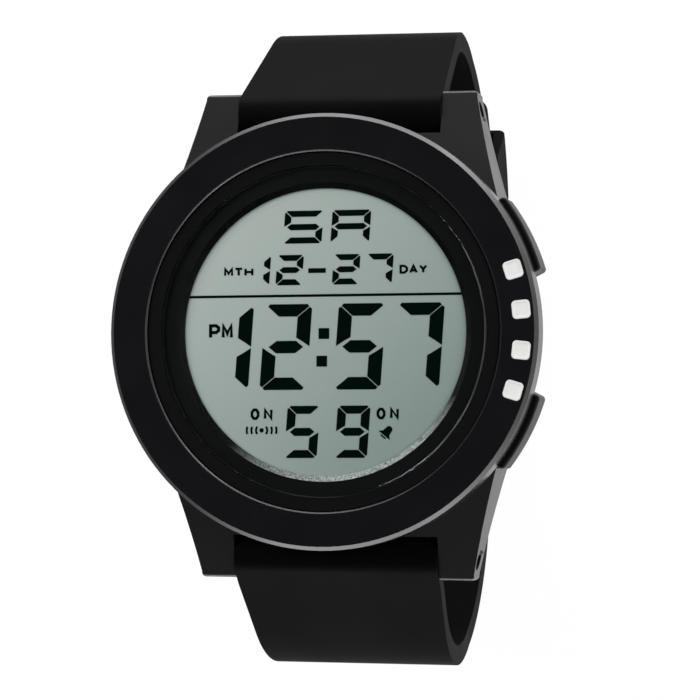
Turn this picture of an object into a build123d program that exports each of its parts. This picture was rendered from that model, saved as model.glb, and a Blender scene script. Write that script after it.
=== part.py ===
from build123d import *

import os
from math import acos, atan2, cos, degrees, hypot, radians, sin, sqrt

# A digital wristwatch that lies face up on its buckled strap, in millimetres.
# +Z leaves the dial, +Y points to 12 o'clock, +X to 3 o'clock, and the floor is z = 0.
# Heights along the loop are measured up from the floor, and depths down from the top of the bezel.

# Loop and case as a whole
bar_height = 48.2
bar_depth = 10.8
bar_y = 26.1
upper_reach = 38.0
lower_reach = 39.5
case_y = (lower_reach - upper_reach) / 2
bezel_top = bar_height + bar_depth
overrun = 60.0
small_overrun = 3.0

# Fits
soft_gap = 0.3
slide_gap = 0.25
turn_gap = 0.05
drop_in_gap = 0.1
press_gap = 0.02

# Bezel
bezel_diameter = 50.0
bezel_bore = 41.2
bezel_height = 4.2
bezel_chamfer = 0.45
bezel_lip_chamfer = 0.2
marker_count = 4
marker_size = 2.15
marker_corner = 0.5
marker_depth = 0.4
marker_ring_radius = 23.15
marker_spacing_degrees = 11.4

# Case body
case_diameter = 46.8
case_height = 13.8
case_bottom_chamfer = 1.0
crystal_wall_drop = 0.45
cavity_diameter = 39.2
shelf_bore = 36.0
shelf_thickness = 0.6
gasket_seat_width = 0.7
gasket_seat_depth = 0.7

# Lugs
lug_tip_y = 28.5
lug_tip_half_width = 16.25
lug_slot_half_width = 12.15
lug_flare_start_y = 27.8
lug_flare_end_degrees = 15.8
lug_flare_sag = 0.45
lug_tip_top_depth = 9.9
lug_tip_thickness = 3.5
lug_top_slope_share = 0.33
lug_bottom_run = 8.5
lug_edge_radius = 0.5
lug_access_radius = 1.2
lug_access_x = 13.4

# Crystal and dial ring
crystal_diameter = 38.0
crystal_thickness = 1.1
crystal_sink = 0.1
crystal_edge_chamfer = 0.15
crystal_gasket_bore = 36.4
crystal_gasket_thickness = 0.2
dial_ring_bore = 33.0
dial_ring_flat_width = 0.35
dial_ring_lip = 0.25

# Module, from the display down
module_clearance = 0.3
display_flats = 35.6
glass_thickness = 0.55
light_guide_flats = 31.0
light_guide_thickness = 1.0
frame_thickness = 4.2
frame_rim_drop = 0.2
strip_length = 15.6
strip_width = 1.5
strip_y = 16.7
led_length = 1.6
led_width = 3.0
led_height = 0.8
board_diameter = 37.4
board_thickness = 0.8
chip_radius = 4.0
chip_height = 1.1
chip_edge_radius = 0.6
chip_x = 3.0
chip_y = 11.5
quartz_diameter = 2.0
quartz_length = 6.0
quartz_x = 10.5
quartz_y = 9.0
carrier_height = 4.1
carrier_pocket_gap = 0.6

# Battery and sounder
battery_diameter = 20.0
battery_height = 3.2
battery_rim_radius = 0.3
battery_x = -5.0
battery_y = -4.0
contact_leaf_length = 8.0
contact_leaf_width = 3.0
contact_leaf_height = 0.4
clamp_width = 5.0
clamp_overhang = 3.0
clamp_thickness = 0.3
module_screw_radius = 0.6
module_screw_head_radius = 1.1
module_screw_head_height = 0.4
module_screw_length = 2.6
sounder_diameter = 24.0
sounder_thickness = 0.4
sounder_spring_x = 10.2
sounder_spring_y = 1.5
sounder_spring_radius = 1.1
sounder_spring_wire = 0.3
sounder_spring_turns = 4

# Case back
back_diameter = 45.6
back_rim_thickness = 1.2
back_boss_diameter = 37.0
back_boss_height = 0.5
back_edge_chamfer = 0.3
back_screw_count = 4
back_screw_start_degrees = 45
back_screw_ring_radius = 21.2
back_screw_radius = 0.7
back_screw_head_radius = 1.15
back_screw_head_height = 0.6
back_screw_length = 3.6

# Pushers, four of one shape
pusher_degrees = {"two": 27.0, "ten": 153.0, "eight": 207.0, "four": 333.0}
pusher_travel = 0.6
pusher_reach = 25.65
pusher_half_width = 4.7
pusher_height = 5.0
pusher_depth = 6.9
pusher_inner_r = 22.7
pusher_corner_radius = 0.5
pusher_edge_radius = 0.35
pocket_floor_r = 21.7
stem_radius = 0.8
stem_grip = 1.5
seal_r = 20.0
seal_width = 0.6
seal_section = 0.45
clip_radius = 1.35
clip_thickness = 0.3
clip_slot_width = 1.2
spring_seat_radius = 1.65
spring_seat_depth = 0.7
spring_radius = 1.25
spring_wire = 0.3
spring_turns = 2
leaf_r = 17.2
leaf_thickness = 0.25
leaf_width = 3.0
leaf_height = 2.5
notch_half_width = 2.0

# Strap and its spring bars
strap_width_at_case = 23.7
strap_width = 21.5
strap_taper_height = 20.0
strap_thickness = 2.4
strap_eye_radius = 2.35
upper_bend_y = 12.0
upper_shoulder_share = 0.667
lower_bend_y = -12.9
lower_shoulder_share = 0.989
bar_radius = 0.9
bar_tip_radius = 0.55
bar_tip_inside = 6.0
bar_spring_wire = 0.2
bar_spring_turns = 5

# Buckle, tongue and keepers
keeper_wall = 1.2
keeper_side_wall = 1.45
keeper_corner_radius = 0.9
fixed_keeper_y = 4.5
fixed_keeper_width = 7.0
sliding_keeper_degrees = -65.2
sliding_keeper_arc_degrees = 18.4
tail_end_margin = 12.4
tail_corner_radius = 2.2
buckle_pin_y = 1.0
buckle_pin_radius = 0.75
strap_end_radius = 1.9
strap_end_notch_half_width = 1.5
buckle_length = 13.0
buckle_arm_gap = 0.35
buckle_arm_thickness = 1.7
buckle_arm_eye_radius = 1.7
buckle_bar_width = 2.0
buckle_bar_height = 1.8
buckle_bar_edge_radius = 0.5
tongue_width = 2.0
tongue_thickness = 1.1
tongue_eye_radius = 1.45
tongue_knee_run = 4.6
tongue_knee_radius = 1.5
tongue_overhang = 1.2
tongue_floor_gap = 0.1
tongue_side_gap = 0.2
slot_width = 2.7
slot_length = 4.9
slot_pitch = 8.0
slots_towards_tip = 3
slots_towards_case = 4
s_bend_radius = 14.0

# Levels worked out from the sizes above
bezel_seat_z = bezel_top - bezel_height
crystal_wall_z = bezel_top - crystal_wall_drop
crystal_top_z = bezel_top - crystal_sink
crystal_bottom_z = crystal_top_z - crystal_thickness
shelf_z = crystal_bottom_z - crystal_gasket_thickness
shelf_bottom_z = shelf_z - shelf_thickness
front_glass_z = shelf_bottom_z - glass_thickness
rear_glass_z = front_glass_z - glass_thickness
guide_z = rear_glass_z - light_guide_thickness
frame_z = rear_glass_z - frame_thickness - frame_rim_drop
board_z = frame_z - board_thickness
carrier_z = board_z - carrier_height
case_back_z = bezel_top - case_height
sounder_z = case_back_z
pusher_z = bezel_top - pusher_depth
battery_top_z = board_z - contact_leaf_height
battery_bottom_z = battery_top_z - battery_height
clamp_z = battery_bottom_z - clamp_thickness

tail_height = keeper_wall + soft_gap
upper_height = tail_height + strap_thickness + soft_gap
buckle_bar_z = tongue_floor_gap + tongue_thickness + drop_in_gap
lower_height = buckle_bar_z + buckle_bar_height + soft_gap
upper_bend_radius = upper_reach - upper_bend_y
upper_bend_z = upper_height + upper_bend_radius
upper_shoulder_radius = upper_shoulder_share * (bar_height - upper_bend_z)
lower_bend_radius = lower_reach + lower_bend_y
lower_bend_z = lower_height + lower_bend_radius
lower_shoulder_radius = lower_shoulder_share * (bar_height - lower_bend_z)
buckle_pin_z = upper_height + strap_end_radius
engaged_y = buckle_pin_y + turn_gap - slot_length / 2
tail_radius = upper_bend_z - tail_height
tail_arc_length = slots_towards_tip * slot_pitch + tail_end_margin + engaged_y - upper_bend_y
tail_arc_degrees = degrees(tail_arc_length / tail_radius)

cavity_radius = cavity_diameter / 2
case_radius = case_diameter / 2
crystal_wall_radius = bezel_bore / 2 - drop_in_gap
module_radius = cavity_radius - module_clearance
strap_half_width = strap_width / 2
bar_half_length = lug_slot_half_width - drop_in_gap
case_end_y = bar_y - strap_eye_radius - soft_gap
stem_inner_r = leaf_r + leaf_thickness + turn_gap + pusher_travel
stem_outer_r = pusher_inner_r + stem_grip

# Planes that the pieces are drawn on, all through the middle of the case
case_section = Plane.XZ.offset(-case_y)
case_axis = Axis((0, case_y, 0), (0, 0, 1))
loop_plane = Plane(origin=(0, case_y, 0), x_dir=(0, 1, 0), z_dir=(1, 0, 0))


def level(height):
    # The plan plane at one height, centred on the case.
    return Plane(origin=(0, case_y, height))


def octagon(flats, mode=Mode.ADD):
    # An eight-sided outline with a flat side to each of the watch's four sides.
    RegularPolygon(flats / 2, 8, major_radius=False, rotation=180 / 8, mode=mode)


def pusher_plane(angle):
    # Local x runs out along the pusher's stem, and local y along the case wall.
    return Plane(origin=(0, case_y, pusher_z)).rotated((0, 0, angle))


def pusher_section(angle):
    # Local x runs out along the stem, and local y is up, for shapes turned about the stem.
    direction = Vector(cos(radians(angle)), sin(radians(angle)), 0)
    return Plane(origin=(0, case_y, pusher_z), x_dir=direction, z_dir=direction.cross(Vector(0, 0, 1)))


def pusher_axis(angle):
    return Axis((0, case_y, pusher_z), (cos(radians(angle)), sin(radians(angle)), 0))


def cut_pusher_notches():
    # Makes room in the module for the four stems, their clips and the contact leaves.
    for angle in pusher_degrees.values():
        with BuildSketch(pusher_plane(angle)) as notch:
            with Locations((leaf_r, 0)):
                Rectangle(
                    cavity_radius - leaf_r + small_overrun,
                    2 * notch_half_width,
                    align=(Align.MIN, Align.CENTER),
                )
        extrude(notch.sketch, amount=notch_half_width, both=True, mode=Mode.SUBTRACT)


def shoulder_turn(reach, bend_z, shoulder_radius):
    # How far the strap's shoulder arc turns before it runs straight on to the eye at the lugs.
    across = bar_y - reach + shoulder_radius
    up = bar_height - bend_z
    span = hypot(across, up)
    return degrees(atan2(up, across) - acos((shoulder_radius - strap_eye_radius) / span))


def shoulder_run(reach, bend_z, shoulder_radius):
    # The length of that straight run.
    across = bar_y - reach + shoulder_radius
    up = bar_height - bend_z
    return sqrt(across**2 + up**2 - (shoulder_radius - strap_eye_radius) ** 2)


def trim_to_taper():
    # The strap is widest between the lugs and narrows down to the height where its taper ends.
    with BuildSketch(case_section) as taper:
        with BuildLine():
            Polyline(
                (-strap_half_width, -small_overrun),
                (-strap_half_width, strap_taper_height),
                (-strap_width_at_case / 2, bar_height),
                (-strap_width_at_case / 2, bezel_top),
                (strap_width_at_case / 2, bezel_top),
                (strap_width_at_case / 2, bar_height),
                (strap_half_width, strap_taper_height),
                (strap_half_width, -small_overrun),
                close=True,
            )
        make_face()
    extrude(taper.sketch, amount=overrun, both=True, mode=Mode.INTERSECT)


os.makedirs("parts", exist_ok=True)

# Case body, one moulding with the crystal seat, the module's cavity and four lugs
with BuildPart() as case_body:
    with BuildSketch(level(case_back_z)):
        with BuildLine():
            flare_angle = radians(lug_flare_end_degrees)
            flare_end = (case_radius * cos(flare_angle), case_radius * sin(flare_angle))
            Polyline(flare_end, (0, 0), (0, case_end_y), (lug_slot_half_width, case_end_y))
            Line((lug_slot_half_width, case_end_y), (lug_slot_half_width, lug_tip_y))
            Line((lug_slot_half_width, lug_tip_y), (lug_tip_half_width, lug_tip_y))
            Line((lug_tip_half_width, lug_tip_y), (lug_tip_half_width, lug_flare_start_y))
            SagittaArc((lug_tip_half_width, lug_flare_start_y), flare_end, -lug_flare_sag)
        make_face()
        mirror(about=Plane.YZ)
        mirror(about=Plane.XZ)
    extrude(amount=case_height - bezel_height)
    with BuildSketch(loop_plane):
        with BuildLine():
            tip_top = bezel_top - lug_tip_top_depth
            tip_bottom = tip_top - lug_tip_thickness
            ridge_y = lug_tip_y - (bezel_seat_z - tip_top) / lug_top_slope_share
            Polyline(
                (0, case_back_z),
                (lug_tip_y - lug_bottom_run, case_back_z),
                (lug_tip_y, tip_bottom),
                (lug_tip_y, tip_top),
                (ridge_y, bezel_seat_z),
                (0, bezel_seat_z),
                close=True,
            )
        make_face()
        fillet(vertices().group_by(Axis.X)[-1], lug_edge_radius)
        mirror(about=Plane.YZ)
    extrude(amount=overrun, both=True, mode=Mode.INTERSECT)
    with BuildSketch(case_section):
        with BuildLine():
            Polyline(
                (0, case_back_z),
                (case_radius - case_bottom_chamfer, case_back_z),
                (case_radius, case_back_z + case_bottom_chamfer),
                (case_radius, bezel_seat_z),
                (crystal_wall_radius, bezel_seat_z),
                (crystal_wall_radius, crystal_wall_z),
                (0, crystal_wall_z),
                close=True,
            )
        make_face()
    revolve(axis=case_axis)
    with BuildSketch(case_section):
        with BuildLine():
            Polyline(
                (0, case_back_z),
                (cavity_radius + gasket_seat_width, case_back_z),
                (cavity_radius + gasket_seat_width, case_back_z + gasket_seat_depth),
                (cavity_radius, case_back_z + gasket_seat_depth),
                (cavity_radius, shelf_bottom_z),
                (shelf_bore / 2, shelf_bottom_z),
                (shelf_bore / 2, shelf_z),
                (crystal_diameter / 2 + turn_gap, shelf_z),
                (crystal_diameter / 2 + turn_gap, crystal_wall_z),
                (0, crystal_wall_z),
                close=True,
            )
        make_face()
    revolve(axis=case_axis, mode=Mode.SUBTRACT)
    for angle in pusher_degrees.values():
        # The pocket that the cap moves in, open under the bezel
        with BuildSketch(pusher_plane(angle)):
            with Locations((pocket_floor_r, 0)):
                Rectangle(
                    case_radius - pocket_floor_r + small_overrun,
                    2 * (pusher_half_width + slide_gap),
                    align=(Align.MIN, Align.CENTER),
                )
        extrude(amount=pusher_height / 2 + slide_gap, both=True, mode=Mode.SUBTRACT)
        # The stepped bore for the stem, its seal and the foot of its spring
        with BuildSketch(pusher_section(angle)):
            with BuildLine():
                Polyline(
                    (cavity_radius - small_overrun, 0),
                    (cavity_radius - small_overrun, stem_radius + turn_gap),
                    (seal_r, stem_radius + turn_gap),
                    (seal_r, stem_radius + seal_section + turn_gap),
                    (seal_r + seal_width, stem_radius + seal_section + turn_gap),
                    (seal_r + seal_width, stem_radius + turn_gap),
                    (pocket_floor_r - spring_seat_depth, stem_radius + turn_gap),
                    (pocket_floor_r - spring_seat_depth, spring_seat_radius),
                    (pocket_floor_r + small_overrun, spring_seat_radius),
                    (pocket_floor_r + small_overrun, 0),
                    close=True,
                )
            make_face()
        revolve(axis=pusher_axis(angle), mode=Mode.SUBTRACT)
    for side in (-1, 1):
        # Access bore from outside, then the smaller bore that the bar's tip springs into
        for end in (-1, 1):
            bar_place = (0, case_y + end * bar_y, bar_height)
            with BuildSketch(Plane(origin=bar_place, z_dir=(side, 0, 0)).offset(lug_access_x)):
                Circle(lug_access_radius)
            extrude(amount=small_overrun + lug_tip_half_width - lug_access_x, mode=Mode.SUBTRACT)
            with BuildSketch(Plane(origin=bar_place, z_dir=(side, 0, 0)).offset(lug_slot_half_width)):
                Circle(bar_tip_radius + turn_gap)
            extrude(
                amount=lug_access_x - lug_slot_half_width,
                both=True,
                mode=Mode.SUBTRACT,
            )
    with BuildSketch(level(case_back_z)):
        with PolarLocations(back_screw_ring_radius, back_screw_count, back_screw_start_degrees):
            Circle(back_screw_radius + press_gap)
    extrude(amount=back_screw_length - back_rim_thickness + turn_gap, mode=Mode.SUBTRACT)
case_body.part.label = "case_body"
export_step(case_body.part, "parts/case_body.step")

# Bezel ring, pressed over the crystal wall, with four shallow seats for the white markers
with BuildPart() as bezel_ring:
    with BuildSketch(case_section):
        with BuildLine():
            Polyline(
                (bezel_bore / 2, bezel_seat_z),
                (bezel_diameter / 2 - bezel_chamfer, bezel_seat_z),
                (bezel_diameter / 2, bezel_seat_z + bezel_chamfer),
                (bezel_diameter / 2, bezel_top - bezel_chamfer),
                (bezel_diameter / 2 - bezel_chamfer, bezel_top),
                (bezel_bore / 2 + bezel_lip_chamfer, bezel_top),
                (bezel_bore / 2, bezel_top - bezel_lip_chamfer),
                close=True,
            )
        make_face()
    revolve(axis=case_axis)
    marker_start = -marker_spacing_degrees * (marker_count - 1) / 2
    with BuildSketch(level(bezel_top)):
        for index in range(marker_count):
            with PolarLocations(marker_ring_radius, 1, marker_start + index * marker_spacing_degrees):
                RectangleRounded(marker_size, marker_size, marker_corner)
    extrude(amount=-marker_depth, mode=Mode.SUBTRACT)
bezel_ring.part.label = "bezel_ring"
export_step(bezel_ring.part, "parts/bezel_ring.step")

# Markers, four white squares glued into the bezel
with BuildPart() as bezel_markers:
    with BuildSketch(level(bezel_top)):
        for index in range(marker_count):
            with PolarLocations(marker_ring_radius, 1, marker_start + index * marker_spacing_degrees):
                RectangleRounded(
                    marker_size - 2 * press_gap, marker_size - 2 * press_gap, marker_corner - press_gap
                )
    extrude(amount=-marker_depth)
bezel_markers.part.label = "bezel_markers"
export_step(bezel_markers.part, "parts/bezel_markers.step")

# Crystal gasket, crystal and dial ring, stacked in the crystal seat
with BuildPart() as crystal_gasket:
    with BuildSketch(level(shelf_z)):
        Circle(crystal_diameter / 2)
        Circle(crystal_gasket_bore / 2, mode=Mode.SUBTRACT)
    extrude(amount=crystal_gasket_thickness)
crystal_gasket.part.label = "crystal_gasket"
export_step(crystal_gasket.part, "parts/crystal_gasket.step")

with BuildPart() as crystal:
    with BuildSketch(level(crystal_bottom_z)):
        Circle(crystal_diameter / 2)
    extrude(amount=crystal_thickness)
    chamfer(crystal.edges().sort_by(Axis.Z)[-1], crystal_edge_chamfer)
crystal.part.label = "crystal"
export_step(crystal.part, "parts/crystal.step")

with BuildPart() as dial_ring:
    with BuildSketch(case_section):
        with BuildLine():
            dial_ring_outer = shelf_bore / 2 - drop_in_gap
            dial_ring_top = crystal_bottom_z - turn_gap
            Polyline(
                (dial_ring_bore / 2, shelf_bottom_z),
                (dial_ring_outer, shelf_bottom_z),
                (dial_ring_outer, dial_ring_top),
                (dial_ring_outer - dial_ring_flat_width, dial_ring_top),
                (dial_ring_bore / 2, shelf_bottom_z + dial_ring_lip),
                close=True,
            )
        make_face()
    revolve(axis=case_axis)
dial_ring.part.label = "dial_ring"
export_step(dial_ring.part, "parts/dial_ring.step")

# Display, two glass plates, each an octagon that fills the round window
with BuildPart() as lcd_front_glass:
    with BuildSketch(level(front_glass_z)):
        octagon(display_flats)
    extrude(amount=glass_thickness)
lcd_front_glass.part.label = "lcd_front_glass"
export_step(lcd_front_glass.part, "parts/lcd_front_glass.step")

with BuildPart() as lcd_rear_glass:
    with BuildSketch(level(rear_glass_z)):
        octagon(display_flats)
    extrude(amount=glass_thickness)
lcd_rear_glass.part.label = "lcd_rear_glass"
export_step(lcd_rear_glass.part, "parts/lcd_rear_glass.step")

# Light guide behind the display, with an LED at each side edge
with BuildPart() as light_guide:
    with BuildSketch(level(guide_z)):
        octagon(light_guide_flats)
    extrude(amount=light_guide_thickness - turn_gap)
light_guide.part.label = "light_guide"
export_step(light_guide.part, "parts/light_guide.step")

with BuildPart() as backlight_leds:
    led_x = light_guide_flats / 2 + turn_gap + led_length / 2
    with BuildSketch(level(guide_z)):
        with Locations((-led_x, 0), (led_x, 0)):
            Rectangle(led_length, led_width)
    extrude(amount=led_height)
backlight_leds.part.label = "backlight_leds"
export_step(backlight_leds.part, "parts/backlight_leds.step")

# Module frame, which carries the display and is notched for the pushers
with BuildPart() as module_frame:
    with BuildSketch(level(frame_z)):
        Circle(module_radius)
    extrude(amount=rear_glass_z - frame_z)
    with BuildSketch(level(rear_glass_z)):
        Circle(module_radius)
        octagon(display_flats + 2 * drop_in_gap, mode=Mode.SUBTRACT)
    extrude(amount=2 * glass_thickness - frame_rim_drop)
    with BuildSketch(level(guide_z)):
        octagon(light_guide_flats + 2 * turn_gap)
        with Locations((-led_x, 0), (led_x, 0)):
            Rectangle(led_length + 2 * turn_gap, led_width + 2 * turn_gap)
    extrude(amount=light_guide_thickness, mode=Mode.SUBTRACT)
    with BuildSketch(level(frame_z)):
        with Locations((0, -strip_y), (0, strip_y)):
            Rectangle(strip_length + 2 * turn_gap, strip_width + 2 * turn_gap)
    extrude(amount=rear_glass_z - frame_z, mode=Mode.SUBTRACT)
    cut_pusher_notches()
module_frame.part.label = "module_frame"
export_step(module_frame.part, "parts/module_frame.step")

# Contact strips, soft bars that join the display's edge to the board
with BuildPart() as contact_strips:
    with BuildSketch(level(frame_z)):
        with Locations((0, -strip_y), (0, strip_y)):
            Rectangle(strip_length, strip_width)
    extrude(amount=rear_glass_z - frame_z)
contact_strips.part.label = "contact_strips"
export_step(contact_strips.part, "parts/contact_strips.step")

# Circuit board with the chip under its blob of resin and the quartz crystal in its can
with BuildPart() as circuit_board:
    with BuildSketch(level(board_z)):
        Circle(board_diameter / 2)
    extrude(amount=board_thickness)
    cut_pusher_notches()
circuit_board.part.label = "circuit_board"
export_step(circuit_board.part, "parts/circuit_board.step")

with BuildPart() as chip_cover:
    with BuildSketch(level(board_z)):
        with Locations((chip_x, chip_y)):
            Circle(chip_radius)
    extrude(amount=-chip_height)
    fillet(chip_cover.edges().sort_by(Axis.Z)[0], chip_edge_radius)
chip_cover.part.label = "chip_cover"
export_step(chip_cover.part, "parts/chip_cover.step")

with BuildPart() as quartz_can:
    quartz_place = (quartz_x, case_y + quartz_y, board_z - quartz_diameter / 2)
    with BuildSketch(Plane(origin=quartz_place, z_dir=(0, 1, 0))):
        Circle(quartz_diameter / 2)
    extrude(amount=quartz_length / 2, both=True)
quartz_can.part.label = "quartz_can"
export_step(quartz_can.part, "parts/quartz_can.step")

# Leaves that the stems press on, soldered to the board's edge
with BuildPart() as pusher_contacts:
    for angle in pusher_degrees.values():
        with BuildSketch(pusher_plane(angle).offset(board_z - pusher_z)):
            with Locations((leaf_r, 0)):
                Rectangle(leaf_thickness, leaf_width, align=(Align.MIN, Align.CENTER))
        extrude(amount=leaf_height)
pusher_contacts.part.label = "pusher_contacts"
export_step(pusher_contacts.part, "parts/pusher_contacts.step")

# Battery carrier, with a round pocket for the cell and room for the board's parts
with BuildPart() as battery_carrier:
    with BuildSketch(level(carrier_z)):
        Circle(module_radius)
        with Locations((battery_x, battery_y)):
            Circle(battery_diameter / 2 + slide_gap, mode=Mode.SUBTRACT)
        with Locations((chip_x, chip_y)):
            Circle(chip_radius + carrier_pocket_gap, mode=Mode.SUBTRACT)
        with Locations((quartz_x, quartz_y)):
            Rectangle(
                quartz_diameter + 2 * carrier_pocket_gap,
                quartz_length + 2 * carrier_pocket_gap,
                mode=Mode.SUBTRACT,
            )
        with Locations((sounder_spring_x, sounder_spring_y)):
            Circle(sounder_spring_radius + slide_gap, mode=Mode.SUBTRACT)
    extrude(amount=carrier_height)
    clamp_half_length = battery_diameter / 2 + clamp_overhang
    with BuildSketch(level(carrier_z)):
        with Locations((battery_x, battery_y)):
            Rectangle(2 * (clamp_half_length + drop_in_gap), clamp_width + 2 * drop_in_gap)
    extrude(amount=clamp_z + clamp_thickness - carrier_z, mode=Mode.SUBTRACT)
    clamp_screw_x = battery_diameter / 2 + clamp_overhang / 2 + slide_gap / 2
    with BuildSketch(level(clamp_z)):
        with Locations((battery_x - clamp_screw_x, battery_y), (battery_x + clamp_screw_x, battery_y)):
            Circle(module_screw_radius + press_gap)
    extrude(amount=module_screw_length, mode=Mode.SUBTRACT)
    cut_pusher_notches()
battery_carrier.part.label = "battery_carrier"
export_step(battery_carrier.part, "parts/battery_carrier.step")

# Coin cell, the leaf that meets its small pole, and the clamp and screws that hold it
with BuildPart() as battery:
    with BuildSketch(level(battery_bottom_z)):
        with Locations((battery_x, battery_y)):
            Circle(battery_diameter / 2)
    extrude(amount=battery_height)
    fillet(battery.edges(), battery_rim_radius)
battery.part.label = "battery"
export_step(battery.part, "parts/battery.step")

with BuildPart() as battery_leaf:
    with BuildSketch(level(battery_top_z)):
        with Locations((battery_x, battery_y)):
            Rectangle(contact_leaf_length, contact_leaf_width)
    extrude(amount=contact_leaf_height)
battery_leaf.part.label = "battery_leaf"
export_step(battery_leaf.part, "parts/battery_leaf.step")

with BuildPart() as battery_clamp:
    with BuildSketch(level(clamp_z)):
        with Locations((battery_x, battery_y)):
            Rectangle(2 * clamp_half_length, clamp_width)
        with Locations((battery_x - clamp_screw_x, battery_y), (battery_x + clamp_screw_x, battery_y)):
            Circle(module_screw_radius + press_gap, mode=Mode.SUBTRACT)
    extrude(amount=clamp_thickness)
battery_clamp.part.label = "battery_clamp"
export_step(battery_clamp.part, "parts/battery_clamp.step")

with BuildPart() as module_screws:
    with BuildSketch(level(clamp_z)):
        with Locations((battery_x - clamp_screw_x, battery_y), (battery_x + clamp_screw_x, battery_y)):
            Circle(module_screw_head_radius)
    extrude(amount=-module_screw_head_height)
    with BuildSketch(level(clamp_z)):
        with Locations((battery_x - clamp_screw_x, battery_y), (battery_x + clamp_screw_x, battery_y)):
            Circle(module_screw_radius)
    extrude(amount=module_screw_length - turn_gap)
module_screws.part.label = "module_screws"
export_step(module_screws.part, "parts/module_screws.step")

# Sounder disc on the case back, and the small coil that feeds it from the board
with BuildPart() as sounder_disc:
    with BuildSketch(level(sounder_z)):
        Circle(sounder_diameter / 2)
    extrude(amount=sounder_thickness)
sounder_disc.part.label = "sounder_disc"
export_step(sounder_disc.part, "parts/sounder_disc.step")

with BuildPart() as sounder_spring:
    sounder_spring_base = sounder_z + sounder_thickness + sounder_spring_wire / 2
    sounder_spring_height = board_z - sounder_spring_base - sounder_spring_wire / 2
    with BuildLine(level(sounder_spring_base)) as sounder_coil:
        Helix(
            pitch=sounder_spring_height / sounder_spring_turns,
            height=sounder_spring_height,
            radius=sounder_spring_radius - sounder_spring_wire / 2,
            center=(sounder_spring_x, sounder_spring_y, 0),
        )
    with BuildSketch(Plane(origin=sounder_coil.line @ 0, z_dir=sounder_coil.line % 0)):
        Circle(sounder_spring_wire / 2)
    sweep(path=sounder_coil.line, is_frenet=True)
sounder_spring.part.label = "sounder_spring"
export_step(sounder_spring.part, "parts/sounder_spring.step")

# Case back with its gasket and four countersunk screws
with BuildPart() as back_gasket:
    with BuildSketch(level(case_back_z)):
        Circle(cavity_radius + gasket_seat_width - turn_gap)
        Circle(cavity_radius + turn_gap, mode=Mode.SUBTRACT)
    extrude(amount=gasket_seat_depth)
back_gasket.part.label = "back_gasket"
export_step(back_gasket.part, "parts/back_gasket.step")

with BuildPart() as case_back:
    with BuildSketch(level(case_back_z)):
        Circle(back_diameter / 2)
    extrude(amount=-back_rim_thickness)
    chamfer(case_back.edges().sort_by(Axis.Z)[0], back_edge_chamfer)
    with BuildSketch(level(case_back_z - back_rim_thickness)):
        Circle(back_boss_diameter / 2)
    extrude(amount=-back_boss_height)
    chamfer(case_back.edges().sort_by(Axis.Z)[0], back_edge_chamfer)
    with BuildSketch(level(case_back_z)):
        with PolarLocations(back_screw_ring_radius, back_screw_count, back_screw_start_degrees):
            Circle(back_screw_radius + turn_gap)
    extrude(amount=-back_rim_thickness, mode=Mode.SUBTRACT)
    with BuildSketch(level(case_back_z - back_rim_thickness)):
        with PolarLocations(back_screw_ring_radius, back_screw_count, back_screw_start_degrees):
            Circle(back_screw_head_radius + turn_gap)
    extrude(amount=back_screw_head_height, mode=Mode.SUBTRACT)
case_back.part.label = "case_back"
export_step(case_back.part, "parts/case_back.step")

with BuildPart() as back_screws:
    with BuildSketch(level(case_back_z - back_rim_thickness)):
        with PolarLocations(back_screw_ring_radius, back_screw_count, back_screw_start_degrees):
            Circle(back_screw_head_radius)
    extrude(amount=back_screw_head_height)
    with BuildSketch(level(case_back_z - back_rim_thickness)):
        with PolarLocations(back_screw_ring_radius, back_screw_count, back_screw_start_degrees):
            Circle(back_screw_radius)
    extrude(amount=back_screw_length)
back_screws.part.label = "back_screws"
export_step(back_screws.part, "parts/back_screws.step")

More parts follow.
